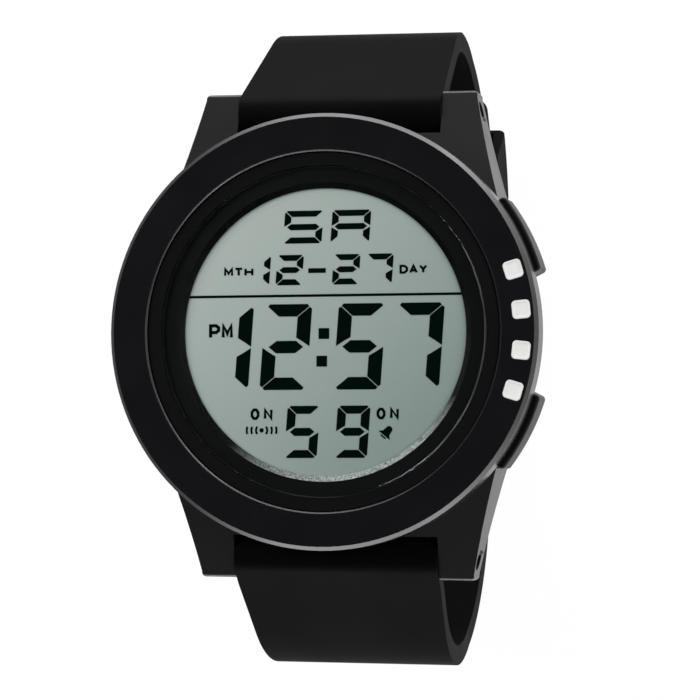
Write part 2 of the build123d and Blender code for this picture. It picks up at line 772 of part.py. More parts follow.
# Pushers, each a moulded cap on a steel stem, with a spring outside the wall and a clip inside it
for hour, angle in pusher_degrees.items():
    with BuildPart() as pusher_cap:
        with BuildSketch(pusher_plane(angle)):
            Circle(pusher_reach)
            with Locations((pusher_inner_r, 0)):
                Rectangle(
                    pusher_reach,
                    2 * pusher_half_width,
                    align=(Align.MIN, Align.CENTER),
                    mode=Mode.INTERSECT,
                )
        extrude(amount=pusher_height / 2, both=True)
        outward = Vector(cos(radians(angle)), sin(radians(angle)), 0)
        upright_edges = pusher_cap.edges().filter_by(Axis.Z)
        fillet(upright_edges.sort_by(Axis((0, 0, 0), outward))[-2:], pusher_corner_radius)
        outer_face = pusher_cap.faces().sort_by(Axis((0, 0, 0), outward))[-1]
        fillet(outer_face.edges(), pusher_edge_radius)
        with BuildSketch(pusher_section(angle)):
            with Locations((pusher_inner_r - small_overrun, 0)):
                Rectangle(
                    stem_outer_r + turn_gap - pusher_inner_r + small_overrun,
                    stem_radius + press_gap,
                    align=(Align.MIN, Align.MIN),
                )
        revolve(axis=pusher_axis(angle), mode=Mode.SUBTRACT)
    pusher_cap.part.label = f"pusher_cap_{hour}"
    export_step(pusher_cap.part, f"parts/pusher_cap_{hour}.step")

    with BuildPart() as pusher_stem:
        with BuildSketch(pusher_section(angle)):
            with Locations((stem_inner_r, 0)):
                Rectangle(stem_outer_r - stem_inner_r, stem_radius, align=(Align.MIN, Align.MIN))
        revolve(axis=pusher_axis(angle))
    pusher_stem.part.label = f"pusher_stem_{hour}"
    export_step(pusher_stem.part, f"parts/pusher_stem_{hour}.step")

    with BuildPart() as pusher_clip:
        clip_origin = pusher_plane(angle).from_local_coords((cavity_radius - drop_in_gap, 0, 0))
        with BuildSketch(Plane(origin=clip_origin, z_dir=-outward)):
            Circle(clip_radius)
            Circle(stem_radius + press_gap, mode=Mode.SUBTRACT)
            Rectangle(
                clip_slot_width,
                clip_radius + small_overrun,
                align=(Align.CENTER, Align.MIN),
                mode=Mode.SUBTRACT,
            )
        extrude(amount=clip_thickness)
    pusher_clip.part.label = f"pusher_clip_{hour}"
    export_step(pusher_clip.part, f"parts/pusher_clip_{hour}.step")

    with BuildPart() as pusher_spring:
        spring_start = pocket_floor_r - spring_seat_depth + spring_wire / 2 + press_gap
        spring_height = pusher_inner_r - spring_wire / 2 - press_gap - spring_start
        with BuildLine() as pusher_coil:
            Helix(
                pitch=spring_height / spring_turns,
                height=spring_height,
                radius=spring_radius - spring_wire / 2,
                center=pusher_plane(angle).from_local_coords((spring_start, 0, 0)),
                direction=outward,
            )
        with BuildSketch(Plane(origin=pusher_coil.line @ 0, z_dir=pusher_coil.line % 0)):
            Circle(spring_wire / 2)
        sweep(path=pusher_coil.line, is_frenet=True)
    pusher_spring.part.label = f"pusher_spring_{hour}"
    export_step(pusher_spring.part, f"parts/pusher_spring_{hour}.step")

# Seals, rubber rings that sit in the case wall round the stems
with BuildPart() as pusher_seals:
    for angle in pusher_degrees.values():
        with BuildSketch(pusher_section(angle)):
            with Locations((seal_r + turn_gap, stem_radius + press_gap)):
                Rectangle(seal_width - 2 * turn_gap, seal_section, align=(Align.MIN, Align.MIN))
        revolve(axis=pusher_axis(angle))
pusher_seals.part.label = "pusher_seals"
export_step(pusher_seals.part, "parts/pusher_seals.step")

# Spring bars between the lugs, each a tube with a sprung tip at both ends
for place, end in (("upper", 1), ("lower", -1)):
    bar_plane = Plane(origin=(0, case_y + end * bar_y, bar_height), z_dir=(1, 0, 0))
    with BuildPart() as bar_tube:
        with BuildSketch(bar_plane):
            Circle(bar_radius)
            Circle(bar_tip_radius + turn_gap, mode=Mode.SUBTRACT)
        extrude(amount=bar_half_length, both=True)
    bar_tube.part.label = f"bar_tube_{place}"
    export_step(bar_tube.part, f"parts/bar_tube_{place}.step")

    tip_start = bar_half_length - bar_tip_inside
    tip_end = lug_access_x + bar_tip_radius
    for side, hand in (("right", 1), ("left", -1)):
        with BuildPart() as bar_tip:
            with BuildSketch(bar_plane.offset(hand * tip_start)):
                Circle(bar_tip_radius)
            extrude(amount=hand * (tip_end - tip_start))
        bar_tip.part.label = f"bar_tip_{place}_{side}"
        export_step(bar_tip.part, f"parts/bar_tip_{place}_{side}.step")

    with BuildPart() as bar_spring:
        coil_half_length = tip_start - bar_spring_wire / 2 - press_gap
        with BuildLine() as bar_coil:
            Helix(
                pitch=2 * coil_half_length / bar_spring_turns,
                height=2 * coil_half_length,
                radius=bar_tip_radius - bar_spring_wire / 2,
                center=(-coil_half_length, case_y + end * bar_y, bar_height),
                direction=(1, 0, 0),
            )
        with BuildSketch(Plane(origin=bar_coil.line @ 0, z_dir=bar_coil.line % 0)):
            Circle(bar_spring_wire / 2)
        sweep(path=bar_coil.line, is_frenet=True)
    bar_spring.part.label = f"bar_spring_{place}"
    export_step(bar_spring.part, f"parts/bar_spring_{place}.step")

# Upper strap, from the lugs at 12 o'clock round to the buckle
with BuildPart() as strap_upper:
    with BuildSketch(loop_plane):
        with BuildLine():
            upper_flat = Line((buckle_pin_y, upper_height), (upper_bend_y, upper_height))
            upper_bend = JernArc(upper_flat @ 1, upper_flat % 1, upper_bend_radius, 90)
            upper_shoulder = JernArc(
                upper_bend @ 1,
                upper_bend % 1,
                upper_shoulder_radius,
                shoulder_turn(upper_reach, upper_bend_z, upper_shoulder_radius),
            )
            upper_run = shoulder_run(upper_reach, upper_bend_z, upper_shoulder_radius)
            Line(upper_shoulder @ 1, (upper_shoulder @ 1) + (upper_shoulder % 1) * upper_run)
            offset(amount=strap_thickness, side=Side.LEFT)
        make_face()
        with Locations((bar_y, bar_height)):
            Circle(strap_eye_radius)
        with Locations((buckle_pin_y, buckle_pin_z)):
            Circle(strap_end_radius)
            Circle(buckle_pin_radius + turn_gap, mode=Mode.SUBTRACT)
        with Locations((bar_y, bar_height)):
            Circle(bar_radius + turn_gap, mode=Mode.SUBTRACT)
    extrude(amount=strap_width_at_case / 2, both=True)
    trim_to_taper()
    with BuildSketch(level(upper_height + strap_end_radius)):
        with Locations((0, buckle_pin_y)):
            Rectangle(2 * strap_end_notch_half_width, 2 * (strap_end_radius + soft_gap))
    extrude(amount=strap_end_radius + small_overrun, both=True, mode=Mode.SUBTRACT)
strap_upper.part.label = "strap_upper"
export_step(strap_upper.part, "parts/strap_upper.step")

# Lower strap, drawn from its tip, through the keepers and the buckle, up to the lugs at 6 o'clock
with BuildLine() as lower_route:
    tail_centre = (upper_bend_y, upper_bend_z)
    tail_arc = CenterArc(tail_centre, tail_radius, tail_arc_degrees - 90, -tail_arc_degrees)
    s_bend_degrees = degrees(acos(1 - (lower_height - tail_height) / (2 * s_bend_radius)))
    s_bend_start = buckle_pin_y - strap_end_radius
    tail_flat = Line(tail_arc @ 1, (s_bend_start, tail_height))
    s_bend_in = JernArc(tail_flat @ 1, tail_flat % 1, s_bend_radius, -s_bend_degrees)
    s_bend_out = JernArc(s_bend_in @ 1, s_bend_in % 1, s_bend_radius, s_bend_degrees)
    lower_flat = Line(s_bend_out @ 1, (lower_bend_y, lower_height))
    lower_bend = JernArc(lower_flat @ 1, lower_flat % 1, lower_bend_radius, -90)
    lower_shoulder = JernArc(
        lower_bend @ 1,
        lower_bend % 1,
        lower_shoulder_radius,
        -shoulder_turn(lower_reach, lower_bend_z, lower_shoulder_radius),
    )
    lower_run = shoulder_run(lower_reach, lower_bend_z, lower_shoulder_radius)
    Line(lower_shoulder @ 1, (lower_shoulder @ 1) + (lower_shoulder % 1) * lower_run)

lower_wire = lower_route.wire()

with BuildPart() as strap_lower:
    with BuildSketch(loop_plane):
        with BuildLine():
            add(lower_route.line)
            offset(amount=strap_thickness, side=Side.RIGHT)
        make_face()
        with Locations((-bar_y, bar_height)):
            Circle(strap_eye_radius)
            Circle(bar_radius + turn_gap, mode=Mode.SUBTRACT)
    extrude(amount=strap_width_at_case / 2, both=True)
    trim_to_taper()
    # The adjustment slots, a row each way from the one that the tongue is in
    engaged_place = slots_towards_tip * slot_pitch + tail_end_margin
    for index in range(-slots_towards_tip, slots_towards_case + 1):
        place = engaged_place + index * slot_pitch
        point = lower_wire.position_at(place, position_mode=PositionMode.LENGTH)
        heading = lower_wire.tangent_at(place, position_mode=PositionMode.LENGTH)
        slot_origin = loop_plane.from_local_coords(point)
        slot_heading = Vector(0, heading.X, heading.Y)
        slot_plane = Plane(origin=slot_origin, x_dir=slot_heading, z_dir=slot_heading.cross(Vector(1, 0, 0)))
        with BuildSketch(slot_plane):
            SlotOverall(slot_length, slot_width)
        extrude(amount=strap_thickness + soft_gap, both=True, mode=Mode.SUBTRACT)
    tip_face = strap_lower.faces().sort_by_distance(loop_plane.from_local_coords(tail_arc @ 0))[0]
    fillet(tip_face.edges().filter_by(Axis.X, reverse=True), tail_corner_radius)
strap_lower.part.label = "strap_lower"
export_step(strap_lower.part, "parts/strap_lower.step")

# Keepers, one moulded band held next to the buckle and one that slides round the bend
keeper_half_opening = strap_half_width + soft_gap
keeper_half_width = keeper_half_opening + keeper_side_wall
keeper_opening = 2 * strap_thickness + 3 * soft_gap
keeper_outer = keeper_opening + 2 * keeper_wall
with BuildPart() as fixed_keeper:
    with BuildSketch(Plane.XZ.offset(-case_y - fixed_keeper_y)):
        with Locations((0, keeper_outer / 2)):
            RectangleRounded(2 * keeper_half_width, keeper_outer, keeper_corner_radius)
            Rectangle(2 * keeper_half_opening, keeper_opening, mode=Mode.SUBTRACT)
    extrude(amount=-fixed_keeper_width)
fixed_keeper.part.label = "fixed_keeper"
export_step(fixed_keeper.part, "parts/fixed_keeper.step")

with BuildPart() as sliding_keeper:
    keeper_start = radians(sliding_keeper_degrees - sliding_keeper_arc_degrees / 2)
    keeper_centre = (0, case_y + upper_bend_y, upper_bend_z)
    keeper_radial = Vector(0, cos(keeper_start), sin(keeper_start))
    keeper_normal = Vector(1, 0, 0).cross(keeper_radial)
    with BuildSketch(Plane(origin=keeper_centre, x_dir=(1, 0, 0), z_dir=keeper_normal)):
        with Locations((0, tail_radius + soft_gap + keeper_wall - keeper_outer / 2)):
            RectangleRounded(2 * keeper_half_width, keeper_outer, keeper_corner_radius)
            Rectangle(2 * keeper_half_opening, keeper_opening, mode=Mode.SUBTRACT)
    revolve(axis=Axis(keeper_centre, (1, 0, 0)), revolution_arc=sliding_keeper_arc_degrees)
sliding_keeper.part.label = "sliding_keeper"
export_step(sliding_keeper.part, "parts/sliding_keeper.step")

# Buckle frame, its pin and its tongue
arm_inner_x = strap_half_width + buckle_arm_gap
arm_outer_x = arm_inner_x + buckle_arm_thickness
buckle_bar_y = buckle_pin_y - buckle_length
buckle_bar_top = buckle_bar_z + buckle_bar_height
with BuildPart() as buckle_frame:
    for hand in (-1, 1):
        with BuildSketch(loop_plane.offset(hand * arm_inner_x)):
            with Locations((buckle_pin_y, buckle_pin_z)):
                Circle(buckle_arm_eye_radius)
            with Locations((buckle_bar_y, buckle_bar_top / 2)):
                RectangleRounded(buckle_bar_width, buckle_bar_top, buckle_bar_edge_radius)
            make_hull()
            with Locations((buckle_pin_y, buckle_pin_z)):
                Circle(buckle_pin_radius + press_gap, mode=Mode.SUBTRACT)
        extrude(amount=hand * buckle_arm_thickness)
    with BuildSketch(loop_plane):
        with Locations((buckle_bar_y, buckle_bar_top / 2)):
            RectangleRounded(buckle_bar_width, buckle_bar_top, buckle_bar_edge_radius)
    extrude(amount=arm_outer_x, both=True)
    with BuildSketch(level(0)):
        with Locations((0, buckle_bar_y)):
            Rectangle(tongue_width + 2 * tongue_side_gap, buckle_bar_width + small_overrun)
    extrude(amount=buckle_bar_z, mode=Mode.SUBTRACT)
buckle_frame.part.label = "buckle_frame"
export_step(buckle_frame.part, "parts/buckle_frame.step")

with BuildPart() as buckle_pin:
    with BuildSketch(loop_plane):
        with Locations((buckle_pin_y, buckle_pin_z)):
            Circle(buckle_pin_radius)
    extrude(amount=arm_outer_x, both=True)
buckle_pin.part.label = "buckle_pin"
export_step(buckle_pin.part, "parts/buckle_pin.step")

with BuildPart() as buckle_tongue:
    tongue_level = tongue_floor_gap + tongue_thickness / 2
    with BuildSketch(loop_plane):
        with BuildLine():
            FilletPolyline(
                (buckle_pin_y, buckle_pin_z),
                (buckle_pin_y - tongue_knee_run, tongue_level),
                (buckle_bar_y - tongue_overhang, tongue_level),
                radius=tongue_knee_radius,
            )
        trace(line_width=tongue_thickness)
        with Locations((buckle_pin_y, buckle_pin_z)):
            Circle(tongue_eye_radius)
            Circle(buckle_pin_radius + turn_gap, mode=Mode.SUBTRACT)
    extrude(amount=tongue_width / 2, both=True)
buckle_tongue.part.label = "buckle_tongue"
export_step(buckle_tongue.part, "parts/buckle_tongue.step")
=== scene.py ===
from math import asin, cos, pi, radians, sin, tan

import bmesh
import bpy
from mathutils import Matrix, Vector


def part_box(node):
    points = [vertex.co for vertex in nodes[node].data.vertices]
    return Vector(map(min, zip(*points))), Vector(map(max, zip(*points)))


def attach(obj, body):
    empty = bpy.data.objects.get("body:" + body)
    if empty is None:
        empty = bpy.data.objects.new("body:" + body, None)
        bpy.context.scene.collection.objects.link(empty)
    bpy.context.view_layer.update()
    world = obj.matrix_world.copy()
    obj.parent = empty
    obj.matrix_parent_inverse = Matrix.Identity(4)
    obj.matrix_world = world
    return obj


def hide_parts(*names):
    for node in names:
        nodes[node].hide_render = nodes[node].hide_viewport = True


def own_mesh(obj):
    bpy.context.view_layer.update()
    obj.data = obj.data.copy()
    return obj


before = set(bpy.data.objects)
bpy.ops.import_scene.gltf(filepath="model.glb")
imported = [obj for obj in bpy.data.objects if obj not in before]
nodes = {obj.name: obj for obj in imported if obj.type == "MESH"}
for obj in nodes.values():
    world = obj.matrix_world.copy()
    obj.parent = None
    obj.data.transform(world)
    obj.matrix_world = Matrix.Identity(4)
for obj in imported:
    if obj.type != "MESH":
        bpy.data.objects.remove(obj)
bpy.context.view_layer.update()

# The watch stands on its buckled strap with its dial up. All sizes are metres,
# +Z leaves the dial, +Y points to 12 o'clock and +X to 3 o'clock.
mm = 0.001
bezel_low, bezel_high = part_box("bezel_ring")
case_y = (bezel_low.y + bezel_high.y) / 2
bezel_top = bezel_high.z


# Case body: one injection moulding of glass-filled nylon with four lugs, which carries
# every other piece. Its mould is fine-blasted, so the skin is satin, and its edges are
# broken by the small radius that a moulding has.
def linear(hex_colour):
    # An sRGB hex colour as the linear values that Blender's sockets take.
    channels = [int(hex_colour[i:i + 2], 16) / 255 for i in (1, 3, 5)]
    return [c / 12.92 if c <= 0.04045 else ((c + 0.055) / 1.055) ** 2.4 for c in channels] + [1]


def add_node(tree, kind, links=None, **settings):
    # Adds a shader node, sets its properties, and fills or links its inputs.
    node = tree.nodes.new(kind)
    for name, value in settings.items():
        setattr(node, name, value)
    for name, value in (links or {}).items():
        if isinstance(value, bpy.types.NodeSocket):
            tree.links.new(value, node.inputs[name])
        else:
            node.inputs[name].default_value = value
    return node


def new_material(name, **values):
    # A material with its shader; values are the shader's own constant inputs.
    material = bpy.data.materials.new(name)
    material.use_nodes = True
    shader = material.node_tree.nodes["Principled BSDF"]
    for key, value in values.items():
        shader.inputs[key.replace("_", " ")].default_value = value
    return material, material.node_tree, shader


def grain(tree, shader, pitch, depth, roughness, colours=None):
    # A skin's grain: a fine noise of a real size gives its bump, and a broad one its
    # roughness and, where given, its colour. A pitch near 0.1 mm is coarser than such grain
    # really is, because a finer one wouldn't show in the render.
    broad_pitch = 60 * pitch
    place = add_node(tree, "ShaderNodeTexCoord").outputs["Object"]
    fine = add_node(tree, "ShaderNodeTexNoise", {"Vector": place, "Scale": 1 / pitch, "Detail": 2.0})
    broad = add_node(
        tree, "ShaderNodeTexNoise", {"Vector": place, "Scale": 1 / broad_pitch, "Detail": 3.0}
    )
    bump = add_node(
        tree, "ShaderNodeBump",
        {"Height": fine.outputs["Fac"], "Distance": depth, "Strength": 1.0},
    )
    tree.links.new(bump.outputs["Normal"], shader.inputs["Normal"])
    rough = add_node(
        tree, "ShaderNodeMapRange",
        {"Value": broad.outputs["Fac"], "From Min": 0.3, "From Max": 0.7,
         "To Min": roughness[0], "To Max": roughness[1]},
    )
    tree.links.new(rough.outputs["Result"], shader.inputs["Roughness"])
    if colours:
        blend = add_node(
            tree, "ShaderNodeMix",
            {"Factor": broad.outputs["Fac"], "A": linear(colours[0]), "B": linear(colours[1])},
            data_type="RGBA",
        )
        tree.links.new(blend.outputs["Result"], shader.inputs["Base Color"])
    return place


def dress(material, *names):
    # Gives a material to CAD nodes, in place of the plain one they were packed with.
    for name in names:
        slots = nodes[name].data.materials
        slots.clear()
        slots.append(material)


def copy_of(name):
    # A joined-up copy of a CAD node's loose triangles, with its flat faces made whole.
    weld_distance, flat_within = 0.002 * mm, radians(0.5)
    bm = bmesh.new()
    bm.from_mesh(nodes[name].data)
    bmesh.ops.remove_doubles(bm, verts=bm.verts, dist=weld_distance)
    bmesh.ops.dissolve_limit(bm, angle_limit=flat_within, verts=bm.verts, edges=bm.edges)
    return bm


def only(kind, geometry):
    # The vertices or the edges in what a bmesh operator gives back.
    return [member for member in geometry if isinstance(member, kind)]


def cut_off(bm, point, facing, **cleared):
    # Cuts a mesh at a plane, clears one side of it and closes the cut.
    cut = bmesh.ops.bisect_plane(
        bm, geom=bm.verts[:] + bm.edges[:] + bm.faces[:], plane_co=point, plane_no=facing, **cleared
    )["geom_cut"]
    bmesh.ops.edgeloop_fill(bm, edges=only(bmesh.types.BMEdge, cut))


def break_edges(bm, radius, segments=2, least_angle=30, least_length=0.0):
    # Rounds the sharp edges of a moulding, apart from those of holes finer than the radius.
    sharp = [
        e for e in bm.edges
        if len(e.link_faces) == 2
        and e.calc_face_angle() > radians(least_angle)
        and e.calc_length() > least_length
    ]
    bmesh.ops.bevel(
        bm, geom=sharp, offset=radius, offset_type="OFFSET", segments=segments,
        profile=0.5, affect="EDGES", clamp_overlap=True, material=-1,
    )


def new_piece(bm, name, body, material, slot, *replaced, smooth_angle=35):
    # Turns a bmesh into a piece that rides on a body and stands for CAD nodes.
    mesh = bpy.data.meshes.new(name)
    bm.to_mesh(mesh)
    bm.free()
    piece = bpy.data.objects.new(name, mesh)
    bpy.context.scene.collection.objects.link(piece)
    mesh.materials.append(material)
    mesh.shade_smooth()
    mesh.set_sharp_from_angle(angle=radians(smooth_angle))
    weighting = piece.modifiers.new("flat_faces_shade_flat", "WEIGHTED_NORMAL")
    weighting.keep_sharp = True
    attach(piece, body)
    if replaced:
        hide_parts(*replaced)
    return piece


case_nylon, tree, shader = new_material(
    "moulded_black_nylon", IOR=1.53, Specular_Tint=(0.45, 0.45, 0.45, 1)
)
place = grain(
    tree, shader, pitch=0.12 * mm, depth=0.003 * mm, roughness=(0.3, 0.36),
    colours=("#0f0f10", "#151516"),
)
# The wall that holds the crystal mirrors less than the skin outside it
crystal_wall_radius, wall_blend = 20.55 * mm, 0.01 * mm
flat_place = add_node(
    tree, "ShaderNodeVectorMath", {0: place, 1: (1, 1, 0), 2: (0, -case_y, 0)},
    operation="MULTIPLY_ADD",
)
from_axis = add_node(
    tree, "ShaderNodeVectorMath", {0: flat_place.outputs["Vector"]}, operation="LENGTH"
)
mirroring = add_node(
    tree, "ShaderNodeMapRange",
    {"Value": from_axis.outputs["Value"], "From Min": crystal_wall_radius,
     "From Max": crystal_wall_radius + wall_blend, "To Min": 0.02, "To Max": 0.3},
)
tree.links.new(mirroring.outputs["Result"], shader.inputs["Specular IOR Level"])
bm = copy_of("case_body")
# The upright corners of the four lug tips, rounded by three flat cuts each
lug_corner_radius, lug_outer_x = 0.5 * mm, 16.25 * mm
lug_corner_turns = [radians(degrees) for degrees in (22.5, 45, 67.5)]
lug_tip_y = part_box("case_body")[1].y - case_y
for side, end in ((1, 1), (1, -1), (-1, 1), (-1, -1)):
    corner_x, corner_y = lug_outer_x - lug_corner_radius, lug_tip_y - lug_corner_radius
    corner = Vector((side * corner_x, case_y + end * corner_y, 0))
    for turn in lug_corner_turns:
        away = Vector((side * cos(turn), end * sin(turn), 0))
        cut_off(bm, corner + lug_corner_radius * away, away, clear_outer=True)
break_edges(bm, radius=0.12 * mm, least_length=0.3 * mm)
# A small angle, so that the shading of one face doesn't run on into the next
new_piece(bm, "case_moulding", "watch", case_nylon, "case_resin", "case_body", smooth_angle=12)

# Gaskets and seals: nitrile rubber rings that keep water out at the back, under the
# crystal and round the four stems. They are turned or moulded and dull black.
nitrile, tree, shader = new_material("black_nitrile_rubber", IOR=1.52)
grain(
    tree, shader, pitch=0.2 * mm, depth=0.004 * mm, roughness=(0.6, 0.75),
    colours=("#0d0d0d", "#141414"),
)
dress(nitrile, "back_gasket", "crystal_gasket", "pusher_seals")

# Module: the frame and battery carrier are natural grey mouldings that hold the display,
# the light guide, the board and the cell. They are an even satin grey. Nothing of the module
# but its display shows once the watch is closed.
natural_abs, tree, shader = new_material("natural_grey_abs", IOR=1.54)
grain(
    tree, shader, pitch=0.3 * mm, depth=0.003 * mm, roughness=(0.4, 0.5),
    colours=("#b9b8b0", "#c6c5bd"),
)
dress(natural_abs, "module_frame", "battery_carrier")

# The light guide is clear acrylic with a frosted face, which makes it look milky
guide_acrylic, tree, shader = new_material("frosted_acrylic", IOR=1.49)
grain(
    tree, shader, pitch=0.25 * mm, depth=0.004 * mm, roughness=(0.3, 0.45),
    colours=("#dfe3da", "#e8ebe4"),
)
dress(guide_acrylic, "light_guide")

# The backlight's diodes have a phosphor in clear epoxy, pale yellow while they are unlit
led_body, tree, shader = new_material("led_phosphor_and_epoxy", IOR=1.55)
grain(
    tree, shader, pitch=0.2 * mm, depth=0.002 * mm, roughness=(0.25, 0.35),
    colours=("#e6d98c", "#f0ecc8"),
)
dress(led_body, "backlight_leds")

# The contact strips are sliced from silicone rubber with conducting layers, so they are
# finely striped. A wave texture repeats after wave_period at a scale of 1.
strip_rubber, tree, shader = new_material("striped_silicone_rubber", IOR=1.43)
place = grain(tree, shader, pitch=0.2 * mm, depth=0.003 * mm, roughness=(0.5, 0.6))
strip_pitch, wave_period = 0.5 * mm, 0.314
stripes = add_node(
    tree, "ShaderNodeTexWave", {"Vector": place, "Scale": wave_period / strip_pitch},
    bands_direction="X",
)
stripe_ramp = add_node(tree, "ShaderNodeValToRGB", {"Fac": stripes.outputs["Fac"]})
stripe_ramp.color_ramp.elements[0].color = linear("#2a2628")
stripe_ramp.color_ramp.elements[1].color = linear("#c9a0a8")
tree.links.new(stripe_ramp.outputs["Color"], shader.inputs["Base Color"])
dress(strip_rubber, "contact_strips")

# The board is glass-filled epoxy under green solder resist, with paler tracks, and satin
board_laminate, tree, shader = new_material("green_glass_epoxy_laminate", IOR=1.55)
place = grain(tree, shader, pitch=0.25 * mm, depth=0.004 * mm, roughness=(0.3, 0.42))
track_pitch = 1.3 * mm
tracks = add_node(
    tree, "ShaderNodeTexBrick",
    {"Vector": place, "Scale": 1.0, "Brick Width": 3 * track_pitch, "Row Height": track_pitch,
     "Mortar Size": 0.12 * mm, "Color1": linear("#0d4a2c"), "Color2": linear("#0f5232"),
     "Mortar": linear("#2f7d4d")},
)
tree.links.new(tracks.outputs["Color"], shader.inputs["Base Color"])
dress(board_laminate, "circuit_board")

# The chip lies under a drop of black potting epoxy, which sets smooth and rather glossy
chip_epoxy, tree, shader = new_material("black_potting_epoxy", IOR=1.55)
grain(
    tree, shader, pitch=0.6 * mm, depth=0.01 * mm, roughness=(0.15, 0.3),
    colours=("#080808", "#101011"),
)
dress(chip_epoxy, "chip_cover")


# Bare metal pieces: the spring bars, stems, clips, springs, contact leaves, cell, quartz
# can and screws. Drawing, rolling and turning leave fine lines that streak their shine.
def brushed(name, pale, dark, roughness, pitch, stretch):
    # Metal with fine lines of a real spacing. Stretch is the scale of each axis, and the lines
    # run along the axes with the smallest.
    material, tree, shader = new_material(name, Metallic=1.0)
    place = add_node(tree, "ShaderNodeTexCoord").outputs["Object"]
    stretched = add_node(tree, "ShaderNodeMapping", {"Vector": place, "Scale": stretch})
    lines = add_node(
        tree, "ShaderNodeTexNoise",
        {"Vector": stretched.outputs["Vector"], "Scale": 1 / pitch, "Detail": 3.0},
    )
    tint = add_node(
        tree, "ShaderNodeMix",
        {"Factor": lines.outputs["Fac"], "A": linear(dark), "B": linear(pale)}, data_type="RGBA",
    )
    rough = add_node(
        tree, "ShaderNodeMapRange",
        {"Value": lines.outputs["Fac"], "To Min": roughness[0], "To Max": roughness[1]},
    )
    bump = add_node(tree, "ShaderNodeBump", {"Height": lines.outputs["Fac"], "Distance": 0.002 * mm})
    tree.links.new(tint.outputs["Result"], shader.inputs["Base Color"])
    tree.links.new(rough.outputs["Result"], shader.inputs["Roughness"])
    tree.links.new(bump.outputs["Normal"], shader.inputs["Normal"])
    return material


pin_steel = brushed(
    "turned_stainless_pin", pale="#c9c8c5", dark="#a8a7a5", roughness=(0.22, 0.38),
    pitch=0.15 * mm, stretch=(1, 0.1, 0.1),
)
spring_steel = brushed(
    "drawn_spring_wire", pale="#b9b8b6", dark="#8f8e8c", roughness=(0.3, 0.45),
    pitch=0.2 * mm, stretch=(1, 1, 0.3),
)
cell_steel = brushed(
    "nickelled_cell_can", pale="#d2d1ce", dark="#bab9b6", roughness=(0.18, 0.3),
    pitch=0.3 * mm, stretch=(1, 1, 0.1),
)
screw_steel = brushed(
    "turned_stainless_screw", pale="#bdbcb9", dark="#979694", roughness=(0.25, 0.4),
    pitch=0.15 * mm, stretch=(1, 1, 0.1),
)
sounder_brass = brushed(
    "rolled_brass", pale="#d8b66a", dark="#b8924c", roughness=(0.25, 0.4),
    pitch=0.25 * mm, stretch=(1, 0.1, 1),
)
hours = ("two", "four", "eight", "ten")
dress(pin_steel, "bar_tube_upper", "bar_tube_lower", *[f"pusher_stem_{hour}" for hour in hours])
dress(
    pin_steel,
    *[f"bar_tip_{row}_{side}" for row in ("upper", "lower") for side in ("left", "right")],
)
dress(spring_steel, "bar_spring_upper", "bar_spring_lower", "pusher_contacts", "battery_leaf")
dress(spring_steel, "battery_clamp", "sounder_spring", *[f"pusher_spring_{hour}" for hour in hours])
dress(spring_steel, *[f"pusher_clip_{hour}" for hour in hours])
dress(cell_steel, "battery", "quartz_can")
dress(screw_steel, "module_screws")
dress(sounder_brass, "sounder_disc")

# Coils that are pressed: one of drawn wire behind each pusher's cap, and one in each spring
# bar between its two tips. They stay in the case.
for hour in hours:
    coil_low, coil_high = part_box(f"pusher_spring_{hour}")
    middle = (coil_low + coil_high) / 2
    outward = Vector((middle.x, middle.y - case_y, 0)).normalized()
    bm = copy_of(f"pusher_spring_{hour}")
    coil = new_piece(
        bm, f"pusher_coil_{hour}", "watch", spring_steel, "spring_steel", f"pusher_spring_{hour}"
    )
    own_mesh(coil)

for row in ("upper", "lower"):
    coil_low, coil_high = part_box(f"bar_spring_{row}")
    middle = (coil_low + coil_high) / 2
    for side, away in (("left", Vector((-1, 0, 0))), ("right", Vector((1, 0, 0)))):
        bm = copy_of(f"bar_spring_{row}")
        cut_off(bm, middle, away, clear_inner=True)
        coil = new_piece(
            bm, f"bar_coil_{row}_{side}", "watch", spring_steel, "spring_steel", f"bar_spring_{row}"
        )
        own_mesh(coil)

# Case back: a stamped stainless plate, brushed in one direction, that four screws hold.
# It is bare, and the screw heads are cross-recessed pan heads sunk into it.
back_steel = brushed(
    "brushed_stainless_plate", pale="#b4b4b3", dark="#8c8c8c", roughness=(0.28, 0.45),
    pitch=0.12 * mm, stretch=(0.02, 1, 1),
)
bm = copy_of("case_back")
break_edges(bm, radius=0.08 * mm, least_length=0.3 * mm)
new_piece(bm, "back_plate", "watch", back_steel, "back_steel", "case_back")

recess_half_width, recess_half_length, recess_depth = 0.14 * mm, 0.65 * mm, 0.25 * mm
recess_turn = pi / 8
least_head_area = 2.0 * mm ** 2
nearly_level = 0.99
bm = copy_of("back_screws")
break_edges(bm, radius=0.06 * mm, least_length=0.1 * mm)
heads = [f for f in bm.faces if f.normal.z < -nearly_level and f.calc_area() > least_head_area]
for head in heads:
    middle, rim = head.calc_center_median(), list(head.edges)
    bmesh.ops.delete(bm, geom=[head], context="FACES_ONLY")
    corners = []
    for quarter in range(4):
        turn = Matrix.Rotation(quarter * pi / 2 + recess_turn, 4, "Z")
        for along, across in ((1, 1), (1, -1)):
            corner = Vector((along * recess_half_length, across * recess_half_width, 0))
            corners.append(bm.verts.new(middle + turn @ corner))
        inner = Vector((recess_half_width, -recess_half_width, 0))
        corners.append(bm.verts.new(middle + turn @ inner))
    corners = corners[::-1]
    mouth = [bm.edges.new((a, b)) for a, b in zip(corners, corners[1:] + corners[:1])]
    bmesh.ops.bridge_loops(bm, edges=rim + mouth)
    walls = bmesh.ops.extrude_edge_only(bm, edges=mouth)["geom"]
    foot = only(bmesh.types.BMVert, walls)
    bmesh.ops.translate(bm, verts=foot, vec=(0, 0, recess_depth))
    open_edges = [e for e in only(bmesh.types.BMEdge, walls) if e.is_boundary]
    bmesh.ops.edgeloop_fill(bm, edges=open_edges)
